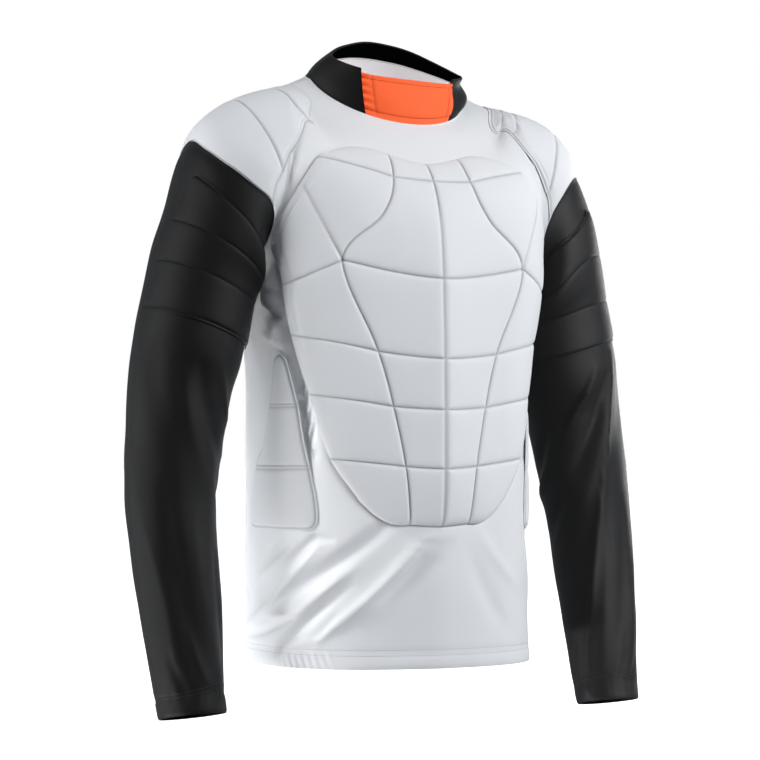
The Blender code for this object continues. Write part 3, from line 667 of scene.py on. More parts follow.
# Turn and height of both ends, bow, half width and height in millimetres
TRUNK_FOLDS = table(
    "turn0 z0 turn1 z1 bow wide high",
    (-63, -0.205, -55, -0.425, 0.02, 15, -15.0),
    (-67, -0.205, -60, -0.300, 0.02, 13, -9.0),
    (63, -0.220, 56, -0.425, -0.02, 15, -12.0),
    (-40, -0.521, -50, -0.519, 0.00, 4, -4.0),
    (-47, -0.519, -60, -0.545, 0.00, 5.5, -5.5),
    (-57, -0.528, -86, -0.566, 0.03, 5.5, 3.6),
    (-66, -0.520, -87, -0.555, -0.06, 4, -2.8),
    (-47.7, -0.535, -100, -0.624, 0.07, 6.5, 5.6),
    (-21, -0.505, -74, -0.598, 0.06, 9, -8.0),
    (-33, -0.552, -54.5, -0.601, 0.02, 5.5, 4.8),
    (-52, -0.600, -76, -0.606, 0.06, 4, 3.5),
    (-35, -0.572, -65, -0.642, 0.02, 6.5, -7.5),
    (-39.7, -0.607, -48.2, -0.634, 0.0, 3.5, -2.5),
    (-4, -0.515, -46, -0.632, 0.03, 5.5, 8.0),
    (-44, -0.629, -61, -0.641, 0.04, 4.5, 3.5),
    (1, -0.525, -22, -0.589, 0.03, 8, -6.0),
    (-57, -0.607, -101, -0.630, 0.06, 5.0, -3.0),
    (-105, -0.575, -96, -0.602, 0.0, 4, -2.5),
    (18, -0.514, 40, -0.581, -0.05, 8, 2.0),
    (13, -0.534, 34, -0.634, -0.05, 9, -1.8),
    (44, -0.500, 62, -0.610, -0.04, 9, 2.4),
    (52, -0.520, 76, -0.640, -0.04, 9, -2.6),
    (66, -0.500, 92, -0.600, -0.04, 7, 2.4),
    (-61, -0.208, -59, -0.244, 0.0, 8, -10.0),
    (-71, -0.238, -58, -0.256, 0.10, 3.6, 6.0),
    (-67, -0.2515, -57.5, -0.2645, 0.03, 3.8, -7.0),
    (-66, -0.258, -55.5, -0.273, 0.05, 3.6, 5.5),
    (-82, -0.262, -56, -0.293, 0.04, 7, -10.0),
    (-82, -0.290, -62, -0.307, 0.05, 5, 5.0),
    (-96, -0.255, -84, -0.330, 0.05, 6, -2.6),
    (-104, -0.250, -90, -0.340, 0.05, 6, 2.2),
    (-52.6, -0.334, -56.8, -0.352, 0.0, 3.2, -3.6),
    (-51.4, -0.344, -55.6, -0.363, 0.0, 2.8, 2.0),
    (-50.6, -0.350, -55.2, -0.373, 0.0, 3.2, -3.6),
    (-49.4, -0.362, -53.6, -0.386, 0.0, 2.8, 2.0),
    (-48.5, -0.373, -52.9, -0.399, 0.0, 3.2, -3.6),
    (-47.8, -0.383, -51.6, -0.409, 0.0, 2.8, 2.0),
    (-47.3, -0.393, -50.6, -0.419, 0.0, 3.2, -3.2),
    (-48.6, -0.421, -47.6, -0.428, 0.0, 3.4, -3.0),
    (69, -0.220, 57, -0.256, -0.05, 5, -3.0),
    (71, -0.244, 57, -0.274, -0.05, 4.5, 2.4),
    (78, -0.260, 58, -0.292, -0.05, 5, -2.8),
    (84, -0.290, 66, -0.322, -0.05, 5, -2.6),
    (58, -0.345, 47, -0.361, 0.0, 3.6, -2.0),
    (56, -0.385, 45, -0.402, 0.0, 3.6, -2.0),
    (53, -0.425, 42, -0.438, 0.0, 3.2, -1.6),
    (-54.5, -0.094, -56.5, -0.122, 0.0, 3.4, -3.4),
    (-52.0, -0.092, -54.0, -0.122, 0.0, 3.6, 2.4),
    (55.5, -0.070, 57, -0.120, 0.0, 3.4, -2.6),
    (53, -0.068, 54.5, -0.116, 0.0, 3.6, 1.8),
    (163, -0.455, 116, -0.590, 0.06, 11, -4.0),
    (148, -0.492, 108, -0.625, 0.06, 8, 3.4),
    (-157, -0.505, -120, -0.606, -0.06, 11, -3.6),
    (-145, -0.535, -112, -0.640, -0.06, 8, 3.2),
    (176, -0.330, 160, -0.455, 0.05, 14, -2.2),
    (-168, -0.300, -150, -0.400, -0.05, 13, 2.0),
    (115, -0.230, 145, -0.300, -0.05, 9, -3.2),
    (-115, -0.230, -145, -0.296, 0.05, 9, -3.0),
    (112, -0.262, 138, -0.330, -0.05, 8, 2.6),
    (-112, -0.258, -140, -0.330, 0.05, 8, 2.6),
    (140, -0.110, 160, -0.200, 0.05, 12, -2.0),
    (-140, -0.110, -160, -0.205, -0.05, 12, -2.0),
)


def trunk_turn(points):
    ahead = -(points[..., 1] - SIDE_Y) / TRUNK_HALF[1]
    return np.degrees(np.arctan2(points[..., 0] / TRUNK_HALF[0], ahead))


def trunk_folds(points):
    turn = trunk_turn(points)
    total = np.zeros(turn.shape)
    for lap in (-360.0, 0.0, 360.0):
        folds = [
            fold_from(f, (f["turn0"] * TRUNK_DEGREE, f["z0"]), (f["turn1"] * TRUNK_DEGREE, f["z1"]))
            for f in TRUNK_FOLDS
            if lap == 0 or abs(f["turn0"]) > BACK_TURN
        ]
        total += fold_height((turn + lap) * TRUNK_DEGREE, points[..., 2], folds)
    return total


print("trunk folds:", len(TRUNK_FOLDS))

# %% [markdown]
# ## Foam under knit
# The pads are foam slabs under the knit, sewn round their edges and along quilting lines. Each pad
# lies on the panel under it: its points are panel points, moved out by the height of the foam. A
# sewn line pulls the foam down to a sharp crease, and the foam swells softly beside it. At the edge
# the knit is turned over the foam and stitched a few millimetres in. So the height is worked out
# from two distances, to the edge and to the nearest line, and points are set closer together near
# the lines to keep the creases crisp.


# %% Distances on a pad
def spread(marks, counts, gather):
    """Places between marks, a count for each stretch, gathered towards the marks."""
    places = []
    for a, b, n in zip(marks[:-1], marks[1:], counts):
        f = np.arange(n) / n
        places.append(a + (b - a) * (f - gather * np.sin(2 * np.pi * f) / (2 * np.pi)))
    return np.append(np.concatenate(places), marks[-1])


def along(line, far, at):
    """Points of a line at some distances along it."""
    return np.stack([np.interp(at, far, line[:, k]) for k in range(line.shape[1])], -1)


def dense(line, count):
    """A line drawn again with many even points."""
    far = run(line)
    return along(line, far, np.linspace(0, far[-1], count))


def tree_of(spots):
    tree = KDTree(len(spots))
    for k, spot in enumerate(spots):
        tree.insert(spot, k)
    tree.balance()
    return tree


def nearest(points, spots):
    """The least distance from each point to any of the spots."""
    tree = tree_of(spots)
    return np.array([tree.find(p)[2] for p in points.reshape(-1, 3)]).reshape(points.shape[:-1])


def raised(flat):
    """Flat places with a third number, 0, for the search."""
    return np.pad(flat, [(0, 0)] * (flat.ndim - 1) + [(0, 1)])


def distance(points, lines, count=1500):
    """The least distance from each point to lines, on a pad or on its flat map."""
    spots = np.concatenate([dense(line, count) for line in lines])
    if spots.shape[1] == 2:
        spots, points = raised(spots), raised(points)
    return nearest(points, spots)


def border(base):
    return base[0], base[-1], base[:, 0], base[:, -1]


print("distances ready")

# %% Shape a quilted pad
PAD_LIFT = 0.0004
PAD_EDGE = 0.0012
EDGE_RISE, BODY_RISE, EDGE_SHARE = 0.0045, 0.030, 0.6
CREASE_WIDE = 0.0018
SWELL_WIDE, SWELL_SHARE = 0.014, 0.22
WELT_AT, WELT_WIDE = 0.0065, 0.0013
DITCH_AT, DITCH_WIDE, DITCH_DEEP = 0.0024, 0.0012, 0.0013
THINNEST = 0.0002
LINE_FINE = 0.0010
FLUSH = 0.005
# Rows and columns of the pads and panels, kept for the stitches
PATHS = {}


def pillow(to_edge, to_line, full, crease, welt=0.0, rise=EDGE_RISE, thin=PAD_EDGE):
    """Height of a pad: foam swells quickly from the sewn edge, and each line pulls it down."""
    edge = 1 - np.exp(-to_edge / rise)
    wide = 1 - bell(to_edge, BODY_RISE)
    height = thin + (full - thin) * (EDGE_SHARE * edge + (1 - EDGE_SHARE) * wide)
    sunk = crease * (np.exp(-to_line / CREASE_WIDE) + SWELL_SHARE * bell(to_line, SWELL_WIDE))
    sunk = sunk * edge + welt * bell(to_edge - WELT_AT, WELT_WIDE)
    return np.maximum(height - sunk, thin)


def ditched(height, to_edge):
    """The stitched line just inside a thin pad's edge."""
    return np.maximum(height - DITCH_DEEP * bell(to_edge - DITCH_AT, DITCH_WIDE), THINNEST)


def eased(normal, rounds):
    """Normals averaged with their neighbours, so that no pad wrinkles where its grid bends."""
    for _ in range(rounds):
        wide = np.pad(normal, ((1, 1), (1, 1), (0, 0)), mode="edge")
        beside = wide[:-2, 1:-1] + wide[2:, 1:-1] + wide[1:-1, :-2] + wide[1:-1, 2:]
        normal = unit(2 * normal + beside)
    return normal


def crease_shade(*apart):
    """1 on a sewn line and 0 away from it, from distances to lines: the mask of painted crease shade."""
    return np.max([bell(far, LINE_FINE) for far in apart], axis=0)


def pad(name, base, height, flip, finish, line, ease=2, form=None):
    """A closed pad, plain underneath and quilted outside; form is where its foam rests, and line is the mask
    of painted crease shade along its sewn lines.
    """
    form = base if form is None else form
    normal = eased(grid_normals(form, False, flip), ease)
    outer = form + normal * (PAD_LIFT + height)[..., None]
    piece = skin(name + "_foam", outer, base + normal * PAD_LIFT, False, flip, finish)
    # The line mask darkens the pad's colour: painted shade of its creases
    painted_shade_mask = np.append(line, 0 * line).astype(np.float32)
    piece.data.attributes.new("crease_shade", "FLOAT", "POINT").data.foreach_set("value", painted_shade_mask)
    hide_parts(name)
    print("%s: %d faces, %.1f mm thick" % (name, len(piece.data.polygons), height.max() * 1000))
    return outer, normal


def thin_pad(name, base, to_line, sizes, flip, finish):
    """A pad stitched just inside its edge; sizes are its foam, crease and rise."""
    foam, crease, rise = sizes
    to_edge = distance(base, border(base))
    height = ditched(pillow(to_edge, to_line, foam, crease, 0.0, rise), to_edge)
    # The pad's colour gets painted crease shade along its edge stitching and its lines
    surface = pad(name, base, height, flip, finish, crease_shade(to_edge - DITCH_AT, to_line))
    return surface, to_edge - FLUSH


def leave_path(name, surface, at):
    """Keep a row or column of a surface, points and normals, for the stitches."""
    PATHS[name] = tuple(grid[at] for grid in surface)


def row_at(rows, place):
    return np.argmin(np.abs(rows - place))


print("a sewn line pulls the foam down over %.1f mm" % (CREASE_WIDE * 1000))

# %% [markdown]
# ## Chest pad
# The large pad has a line down its middle, two long lines that cross at the ribs, cross lines like
# ribs, and a short slanting line to each armhole. Its outline and lines are a short table of places
# as seen from the front, so the panel's own numbers under each place are looked for step by step.
# The grid runs along the long and the cross lines; the slanting ones are drawn over it.

# %% Draw the chest pad
CHEST = table(
    "row z_middle x_line z_line x_edge z_edge",
    (0.0, -0.5074, 0.0382, -0.5050, 0.0960, -0.4780),
    (1.0, -0.4425, 0.0452, -0.4400, 0.1262, -0.4310),
    (2.0, -0.3758, 0.0592, -0.3727, 0.1450, -0.3590),
    (3.0, -0.3181, 0.0768, -0.3110, 0.1602, -0.2920),
    (4.0, -0.2274, 0.1179, -0.2100, 0.1712, -0.2365),
    (5.0, -0.1620, 0.0702, -0.1570, 0.1770, -0.1680),
    (6.0, -0.1165, 0.0514, -0.1145, 0.1370, -0.0930),
    (6.5, -0.0923, 0.0467, -0.0835, 0.1184, -0.0845),
)
CHEST_ROWS = (0.0, 1.0, 2.0, 3.0, 4.0, 6.0, 6.5)
CHEST_LINE_AT = 0.45
CHEST_LINES = (-1.0, -CHEST_LINE_AT, 0.0, CHEST_LINE_AT, 1.0)
CHEST_RISE = 1.5
CHEST_CROSSING, CHEST_STRAP_ROW = 4.0, 5.55
CHEST_TOP_BOW, CHEST_FOOT_BOW = 0.007, 0.0095
HALF_CHEST = 0.19
TRIES, TRY_STEP = 14, 1e-4
MOST_W, MOST_T = 0.985, 2.9
NEIGHBOURS, TOUCHING = 4, 1e-5


def chest_spot(p, row):
    """Sideways and upward place on the chest pad: p is -1 to 1 across, row runs up the pad."""
    value = read(CHEST, "row", row)
    a = np.abs(p)
    near = within(a / CHEST_LINE_AT)
    far = within((a - CHEST_LINE_AT) / (1 - CHEST_LINE_AT))
    x = value["x_line"] * near + (value["x_edge"] - value["x_line"]) * far
    z = value["z_middle"] + (value["z_line"] - value["z_middle"]) * near**CHEST_RISE
    z = z + (value["z_edge"] - value["z_line"]) * far
    topmost = within((row - CHEST_ROWS[-2]) / (CHEST_ROWS[-1] - CHEST_ROWS[-2]))
    bow = CHEST_TOP_BOW * topmost - CHEST_FOOT_BOW * within(1 - row)
    return np.stack(np.broadcast_arrays(np.sign(p) * x, z + bow * 4 * far * (1 - far)), axis=-1)


def front_from(spot):
    """The front panel's w and t under a place given as (x, z), by stepping towards it."""
    x, z = np.abs(spot[..., 0]), spot[..., 1]
    side = np.where(spot[..., 0] < 0, -1.0, 1.0)
    t = np.interp(z, TORSO["z_front"], TORSO["t"])
    w = within(x / HALF_CHEST)
    for _ in range(TRIES):
        here = panel_point(-1, side * w, t)
        by_w = (panel_point(-1, side * (w + TRY_STEP), t) - here) / TRY_STEP
        by_t = (panel_point(-1, side * w, t + TRY_STEP) - here) / TRY_STEP
        ex, ez = x - np.abs(here[..., 0]), z - here[..., 2]
        xw, zw = side * by_w[..., 0], by_w[..., 2]
        xt, zt = side * by_t[..., 0], by_t[..., 2]
        det = xw * zt - xt * zw
        w = np.clip(w + (ex * zt - xt * ez) / det, 0, MOST_W)
        t = np.clip(t + (xw * ez - ex * zw) / det, 0, MOST_T)
    return side * w, t


def on_grid(line, spot, surface):
    """The points and normals of a surface over a line given in the flat places of its grid."""
    tree = tree_of(raised(spot.reshape(-1, 2)))
    over = []
    for place in raised(line):
        near = tree.find_n(place, NEIGHBOURS)
        weight = np.array([1 / (TOUCHING + far) for _, _, far in near])
        index = [k for _, k, _ in near]
        over.append([weight @ grid.reshape(-1, 3)[index] / weight.sum() for grid in surface])
    return tuple(np.swapaxes(over, 0, 1))


print("chest pad:", len(CHEST_ROWS) - 2, "cross lines")

# %% Make the chest pad
CHEST_THICK, CHEST_CREASE = 0.0110, 0.0026
CHEST_WELT, WELT_FROM_ROW, WELT_TO_ROW = 0.0013, 2.5, 6.2
# Depth and width of the strap lines, how strong their painted crease shade is, and how near the edge they
# fade out
STRAP_DEEP, STRAP_WIDE, STRAP_SHADE, STRAP_CLEAR = 0.0022, 0.0022, 0.6, 0.010
FINE, STRAP_EVERY = 400, 5
# Points in each stretch across or up, and how much they gather at the lines
CHEST_ACROSS, CHEST_UP = ((64, 26, 26, 64), 0.5), ((24, 24, 22, 28, 92, 12), 0.5)


def make_chest_pad():
    p = spread(CHEST_LINES, *CHEST_ACROSS)
    rows = spread(CHEST_ROWS, *CHEST_UP)
    spot = chest_spot(p[None, :], rows[:, None])
    base = panel_point(-1, *front_from(spot))
    across = [chest_spot(np.linspace(-1, 1, FINE), row) for row in CHEST_ROWS]
    down = [chest_spot(at, np.linspace(CHEST_ROWS[0], CHEST_ROWS[-1], FINE)) for at in CHEST_LINES]
    straps = []
    for side, _ in SIDES:
        cross = chest_spot(side * CHEST_LINE_AT, CHEST_CROSSING)
        end = chest_spot(side, CHEST_STRAP_ROW)
        straps.append(cross + (end - cross) * np.linspace(0, 1, FINE)[:, None])
    to_edge = distance(spot, [across[0], across[-1], down[0], down[-1]])
    to_line = distance(spot, across[1:-1] + down[1:-1])
    to_strap = distance(spot, straps, FINE)
    inside = within(to_edge / STRAP_CLEAR)
    upper = within(rows[:, None] - WELT_FROM_ROW) * within(WELT_TO_ROW - rows[:, None])
    height = pillow(to_edge, to_line, CHEST_THICK, CHEST_CREASE, CHEST_WELT * upper)
    height = height - STRAP_DEEP * bell(to_strap, STRAP_WIDE) * inside + grain_of(base, "chest")
    # Painted crease shade along the sewn lines, weaker along the straps
    painted_shade_mask = np.maximum(crease_shade(to_line), STRAP_SHADE * crease_shade(to_strap) * inside)
    surface = pad("chest_pad", base, height, 1, "white_pad", painted_shade_mask)
    for k, row in enumerate(CHEST_ROWS[1:-1]):
        leave_path("chest_row_%d" % k, surface, row_at(rows, row))
    for k, strap in enumerate(straps):
        PATHS["chest_strap_%d" % k] = on_grid(strap[::STRAP_EVERY], spot, surface)
    for k, at in enumerate(CHEST_LINES[1:-1]):
        leave_path("chest_line_%d" % k, surface, np.s_[:, row_at(p, at)])
    return base, to_edge


chest = make_chest_pad()

# %% [markdown]
# ## Flank pads
# Each flank has a narrower, thinner pad with round corners and two double cross lines. It bends
# round the side of the trunk, so its places are angles round the trunk's rings.

# %% Make the flank pads
FLANK = table(
    "z fore back",
    (-0.5120, 40.5, -6.5),
    (-0.4930, 40.5, -5.75),
    (-0.4530, 37.0, -2.5),
    (-0.4150, 32.25, 1.0),
    (-0.3670, 27.25, 5.0),
    (-0.3340, 22.5, 7.75),
    (-0.3100, 19.5, 9.5),
)
FLANK_MARKS = (-0.512, -0.442, -0.371, -0.310)
FLANK_ROUND, FLANK_DEGREE, MOST_TRIM = 0.012, 0.0021, 0.4
FLANK_FOAM = (0.0058, 0.0016, 0.0035)
# Points in each stretch up or across, and how much they gather at the lines
FLANK_UP, FLANK_ACROSS = ((34, 34, 34), 0.5), ((44,), 0.6)
DOUBLE_LINE = 0.0035


def make_flank_pad(side, word):
    rows = spread(FLANK_MARKS, *FLANK_UP)
    across = spread([0.0, 1.0], *FLANK_ACROSS)
    fore, back = (smooth(FLANK["z"], FLANK[name], rows)[:, None] for name in ("fore", "back"))
    end = within(np.minimum(rows - rows[0], rows[-1] - rows) / FLANK_ROUND)[:, None]
    trim = FLANK_ROUND * (1 - np.sqrt(1 - (1 - end) ** 2)) / FLANK_DEGREE
    trim = np.minimum(trim, (fore - back) * MOST_TRIM)
    angle = np.radians(back + trim + (fore - back - 2 * trim) * across[None, :])
    below = TORSO["t"] <= ARMPIT
    t = np.interp(rows, TORSO["z_side"][below], TORSO["t"][below])[:, None]
    base = ring_point(-1, float(side), angle, t + 0.0 * angle)
    lines = [z + half * DOUBLE_LINE / 2 for z in FLANK_MARKS[1:-1] for half in (-1, 1)]
    to_line = np.min([np.abs(rows - z) for z in lines], axis=0)[:, None] + 0.0 * angle
    surface, clear = thin_pad("side_pad_" + word, base, to_line, FLANK_FOAM, -side, "white_pad")
    for k, z in enumerate(lines):
        leave_path("flank_%s_%d" % (word, k), surface, row_at(rows, z))
    return base, clear


flank = {word: make_flank_pad(side, word) for side, word in SIDES}

# %% [markdown]
# ## Shoulder pads
# Each shoulder pad starts near the neck with a round end, goes over the shoulder seam and down the
# sleeve cap, and runs out flat at the black seam. Two lines cross it. The foam is stiffer than the
# cloth, so it bridges the hollow at the armhole: the pad's form is its base, smoothed many times.

# %% Draw the shoulder pads
SHOULDER = table(
    "reach w_fore t_fore w_back t_back",
    (-1.00, 0.67, 2.21, 0.76, 2.23),
    (-0.50, 0.68, 2.07, 0.76, 2.07),
    (0.00, 0.80, 1.87, 0.86, 1.86),
    (0.14, 0.98, 1.65, 0.99, 1.70),
    (0.26, 1.18, 1.56, 1.20, 1.63),
    (0.42, 1.42, 1.51, 1.42, 1.59),
    (0.97, 1.97, 1.43, 1.97, 1.51),
)
NECK_END_T = {-1: 2.54, 1: 2.30}
NECK_END_SHIFT = {-1: (-0.10, -0.02), 1: (-0.08, 0.05)}
NECK_END_ROUND = 5.0
FORE_DROP, FORE_DROP_AT, FORE_DROP_LONG = {-1: 0.085, 1: 0.01}, -0.2, 0.4


def shoulder_point(side, across, reach):
    """A point over the shoulder: across runs from -1 at the back edge to 1 at the fore edge."""
    far = np.abs(across)
    ahead = across > 0
    edge = read(SHOULDER, "reach", reach)
    share = within(-reach)
    w_edge = np.where(ahead, edge["w_fore"], edge["w_back"]) + NECK_END_SHIFT[side][0] * share
    t_edge = np.where(ahead, edge["t_fore"], edge["t_back"]) + NECK_END_SHIFT[side][1] * share
    t_edge = t_edge - FORE_DROP[side] * bell(reach - FORE_DROP_AT, FORE_DROP_LONG)
    w_ridge = 1 + within(reach)
    t_ridge = SHOULDER_TIP + (NECK_END_T[side] - SHOULDER_TIP) * share
    w = w_ridge + (w_edge - w_ridge) * far
    t = t_ridge + (t_edge - t_ridge) * far ** (1 + NECK_END_ROUND * share)
    turn = within(SHOULDER_TIP - t) * np.where(ahead, 180.0, -180.0)
    cap = sleeve_point(side, turn, within(w - 1) * black_seam(side, turn))
    on_body = side * within(w)
    body = np.where(ahead[..., None], panel_point(-1, on_body, t), panel_point(1, on_body, t))
    return np.where((w > 1)[..., None], cap, body)


print("shoulder pads:", len(SHOULDER), "places along each edge")

# %% Make the shoulder pads
SHOULDER_MARKS = (-1.0, 0.0, 0.42, 0.99)
NOSE_LONG, NOSE_TRIM = {-1: 0.95, 1: 0.70}, {-1: 0.62, 1: 0.45}
FORE_REACH = 1.07
SHOULDER_FOAM, SHOULDER_RISE, SHOULDER_EDGE = 0.0052, 0.009, 0.0006
SHOULDER_WELT, WELT_ACROSS, WELT_FROM, WELT_STEEP = 0.0007, 4, -0.7, 3
SHOULDER_EASE = 14
SHOULDER_DOWN, SHOULDER_ACROSS = ((40, 36, 40), 0.3), ((48, 48), 0.3)
SHOULDER_LINES = {-1: (0.05, 0.40), 1: (0.14, 0.53)}
LINE_SLANT, LINE_DEEP, LINE_WIDE, LINE_CLEAR, LINE_EVERY = 0.14, 0.0016, 0.0019, 0.008, 4
# The painted crease shade of the lines fades towards the neck, but never to less than a quarter
FADE_STEEP, FADE_FROM, LEAST_LINE = 1.5, 0.4, 0.25
LOW_END, LOW_LONG = 0.3, 0.8
SEAM_TAPER, RUN_OUT = 0.030, 0.0005
BRIDGE_ROUNDS, BRIDGE_IN, BRIDGE_DIP = 1100, 0.011, 0.0005


def widened(across):
    return across * np.where(across > 0, FORE_REACH, 1.0)


def bridged(base, to_edge, flip):
    """The base with its hollows filled, away from the pad's edge."""
    over = base.copy()
    for _ in range(BRIDGE_ROUNDS):
        over[1:-1] = (over[:-2] + 2 * over[1:-1] + over[2:]) / 4
    dip = ((over - base) * grid_normals(over, False, flip)).sum(axis=-1)
    share = within(dip / BRIDGE_DIP) * soft_step(within(to_edge / BRIDGE_IN))
    return base + (over - base) * share[..., None]


def make_shoulder_pad(side, word):
    reach = spread(SHOULDER_MARKS, *SHOULDER_DOWN)[:, None]
    across = spread([-1.0, 0.0, 1.0], *SHOULDER_ACROSS)[None, :]
    nose = within((reach + 1) / NOSE_LONG[side])
    narrow = 1 - NOSE_TRIM[side] * (1 - np.sqrt(1 - (1 - nose) ** 2))
    base = shoulder_point(side, widened(across * narrow), reach + 0.0 * across)
    over = np.linspace(-1, 1, FINE)
    lines = [np.stack([over, mark - LINE_SLANT * np.abs(over) ** 3], -1) for mark in SHOULDER_LINES[side]]
    to_line = distance(base, [shoulder_point(side, widened(line[:, 0]), line[:, 1]) for line in lines])
    to_edge = distance(base, [base[0], base[:, 0], base[:, -1]])
    welt = SHOULDER_WELT * within(across * WELT_ACROSS) * within((reach - WELT_FROM) * WELT_STEEP)
    height = pillow(to_edge, 1.0 + to_line, SHOULDER_FOAM, 0.0, welt, SHOULDER_RISE, SHOULDER_EDGE)
    height = height - LINE_DEEP * bell(to_line, LINE_WIDE) * within(to_edge / LINE_CLEAR)
    low = LOW_END + (1 - LOW_END) * soft_step(within((reach + 1) / LOW_LONG))
    run_out = low * np.sin(within(distance(base, [base[-1]]) / SEAM_TAPER) * np.pi / 2)
    height = RUN_OUT + np.maximum(height - RUN_OUT, 0) * run_out
    height = ditched(height, to_edge)
    # Painted crease shade along the edge stitching and the two lines
    painted_shade_mask = crease_shade(to_edge - DITCH_AT, to_line) * np.clip(low * FADE_STEEP - FADE_FROM, LEAST_LINE, 1)
    form = bridged(base, to_edge, side)
    surface = pad("shoulder_pad_" + word, base, height, side, "white_pad", painted_shade_mask, SHOULDER_EASE, form)
    spot = np.stack(np.broadcast_arrays(across, reach), -1)
    for k, line in enumerate(lines):
        PATHS["shoulder_%s_%d" % (word, k)] = on_grid(line[::LINE_EVERY], spot, surface)
    return base, to_edge - FLUSH


shoulder = {word: make_shoulder_pad(side, word) for side, word in SIDES}

# %% [markdown]
# ## Arm pads
# The arm pads are black on black, so only their thin edges and two lines show. The upper end slants
# with the black seam, and the two arms hang a little differently, so each has a table of its own:
# where its outer and inner edges lie round and along the sleeve, and how its cross lines bend.

# %% Make the arm pads
ARM_PAD_COLUMNS = "row turn_outer turn_inner s_outer s_inner bend"
ARM_PAD = {
    -1: table(
        ARM_PAD_COLUMNS,
        (0, 0, 160, 4.68, 4.78, 1.5),
        (1, 7, 160, 4.05, 3.96, 2.2),
        (2, 13, 158, 3.38, 2.40, 2.4),
        (3, 23, 140, 2.48, 1.05, 2.6),
    ),
    1: table(
        ARM_PAD_COLUMNS,
        (0, 24, 168, 4.66, 4.60, 1.0),
        (1, 26, 166, 4.10, 3.56, 1.2),
        (2, 34, 160, 3.25, 1.60, 1.15),
        (3, 54, 142, 1.95, 0.60, 1.6),
    ),
}
ARM_PAD_ROWS = (0.0, 1.0, 2.0, 3.0)
ARM_FOAM = (0.0036, 0.0012, 0.004)
ARM_UP, ARM_ACROSS = ((30, 30, 30), 0.6), ((84,), 0.5)
ARM_ROUND, ARM_ROW, ARM_DEGREE = 0.011, 0.040, 0.0012


def make_arm_pad(side, word):
    rows = spread(ARM_PAD_ROWS, *ARM_UP)[:, None]
    across = spread([0.0, 1.0], *ARM_ACROSS)[None, :]
    value = read(ARM_PAD[side], "row", rows)
    end = within((ARM_PAD_ROWS[-1] - rows) * ARM_ROW / ARM_ROUND)
    corner = ARM_ROUND * (1 - np.sqrt(1 - (1 - end) ** 2)) / ARM_DEGREE
    start = value["turn_outer"] + corner
    turn = start + (value["turn_inner"] - start) * across
    s = value["s_outer"] + (value["s_inner"] - value["s_outer"]) * across ** value["bend"]
    base = sleeve_point(side, turn, s)
    marks = [row_at(rows, mark) for mark in ARM_PAD_ROWS[1:-1]]
    to_line = distance(base, [base[r] for r in marks])
    surface, clear = thin_pad("arm_pad_" + word, base, to_line, ARM_FOAM, -side, "black_pad")
    for k, r in enumerate(marks):
        leave_path("arm_%s_%d" % (word, k), surface, r)
    return base, clear


arm = {word: make_arm_pad(side, word) for side, word in SIDES}

# %% [markdown]
# ## Body panels
# Front and back are cut from white knit and meet at the side and shoulder seams. Under the pads the
# cloth is pressed flat, so folds fade out there. The hem is turned up and sewn with two rows, which
# leaves a soft roll below the stitches and small puckers.

# %% Press, sew and turn up the cloth
PAD_MARGIN, PAD_REACH, PAD_EVERY, PRESSED_IN = 0.003, 0.005, 3, 0.0012
SEAM_DIP, SEAM_WIDE, SEAM_HOLD = 0.0007, 0.0030, 0.0025
PUFF, PUFF_FROM = 0.0009, 0.002
# Two rows of stitches: how far apart, how wide a dip and how deep each draws the cloth in
NEEDLES, NEEDLE_WIDE, NEEDLE_DEEP = 0.0045, 0.0012, (0.0008, 0.0006)
PUCKER, PUCKER_LONG, PUCKER_TALL = 0.00028, 0.013, 0.35
DRIFT, DRIFT_LONG = 3.0, 0.09


def pressed(push, points, pads):
    """A panel's push where the cloth is free, and a little inward where a pad presses on it."""
    spots = np.concatenate([base[to_edge > PAD_MARGIN][::PAD_EVERY] for base, to_edge in pads])
    free = within((nearest(points, spots) - PAD_MARGIN) / PAD_REACH)
    return push * free - PRESSED_IN * (1 - free)


def sewn(push, points, edges):
    """A panel's push, drawn to nothing at its seams so that neighbours meet, with a dip beside each."""
    far = distance(points, edges)
    dip = SEAM_DIP * (far / SEAM_WIDE) * np.exp(1 - far / SEAM_WIDE)
    return push * (1 - bell(far, SEAM_HOLD)) - dip


def turned_up(far, tall, round_by):
    """The roll of a turned-up edge: far is the distance from the edge along the cloth."""
    roll = PUFF * within(1 - far / tall) ** 0.5 * within(far / PUFF_FROM)
    for k, deep in enumerate(NEEDLE_DEEP):
        roll = roll - deep * bell(far - tall - k * NEEDLES, NEEDLE_WIDE)
    drift = DRIFT * np.sin(round_by * 2 * np.pi / DRIFT_LONG)
    pucker = PUCKER * np.sin(round_by * 2 * np.pi / PUCKER_LONG + drift)
    return roll + pucker * bell(far - tall, tall * PUCKER_TALL)


print("hems and cuffs are sewn with", len(NEEDLE_DEEP), "rows")

# %% Make the front and the back
BODY_CLOTH = 0.0011
HEM_TALL = 0.0165
# The hem is gathered near the wearer's right: where, how far round, how deep, and how it slants
GATHER_TURN, GATHER_SPREAD, GATHER_DEEP = -53, 15, 0.0011
GATHER_DEGREE, GATHER_SLANT, GATHER_TOP = 0.0042, 0.6, 1.1
BODY_STRETCHES, UPPER_ROWS = (-1.0, -0.35, 0.35, 1.0), (56, 24)
FRONT_GRID, BACK_GRID = ((74, 36, 74), 140), ((34, 34, 34), 104)


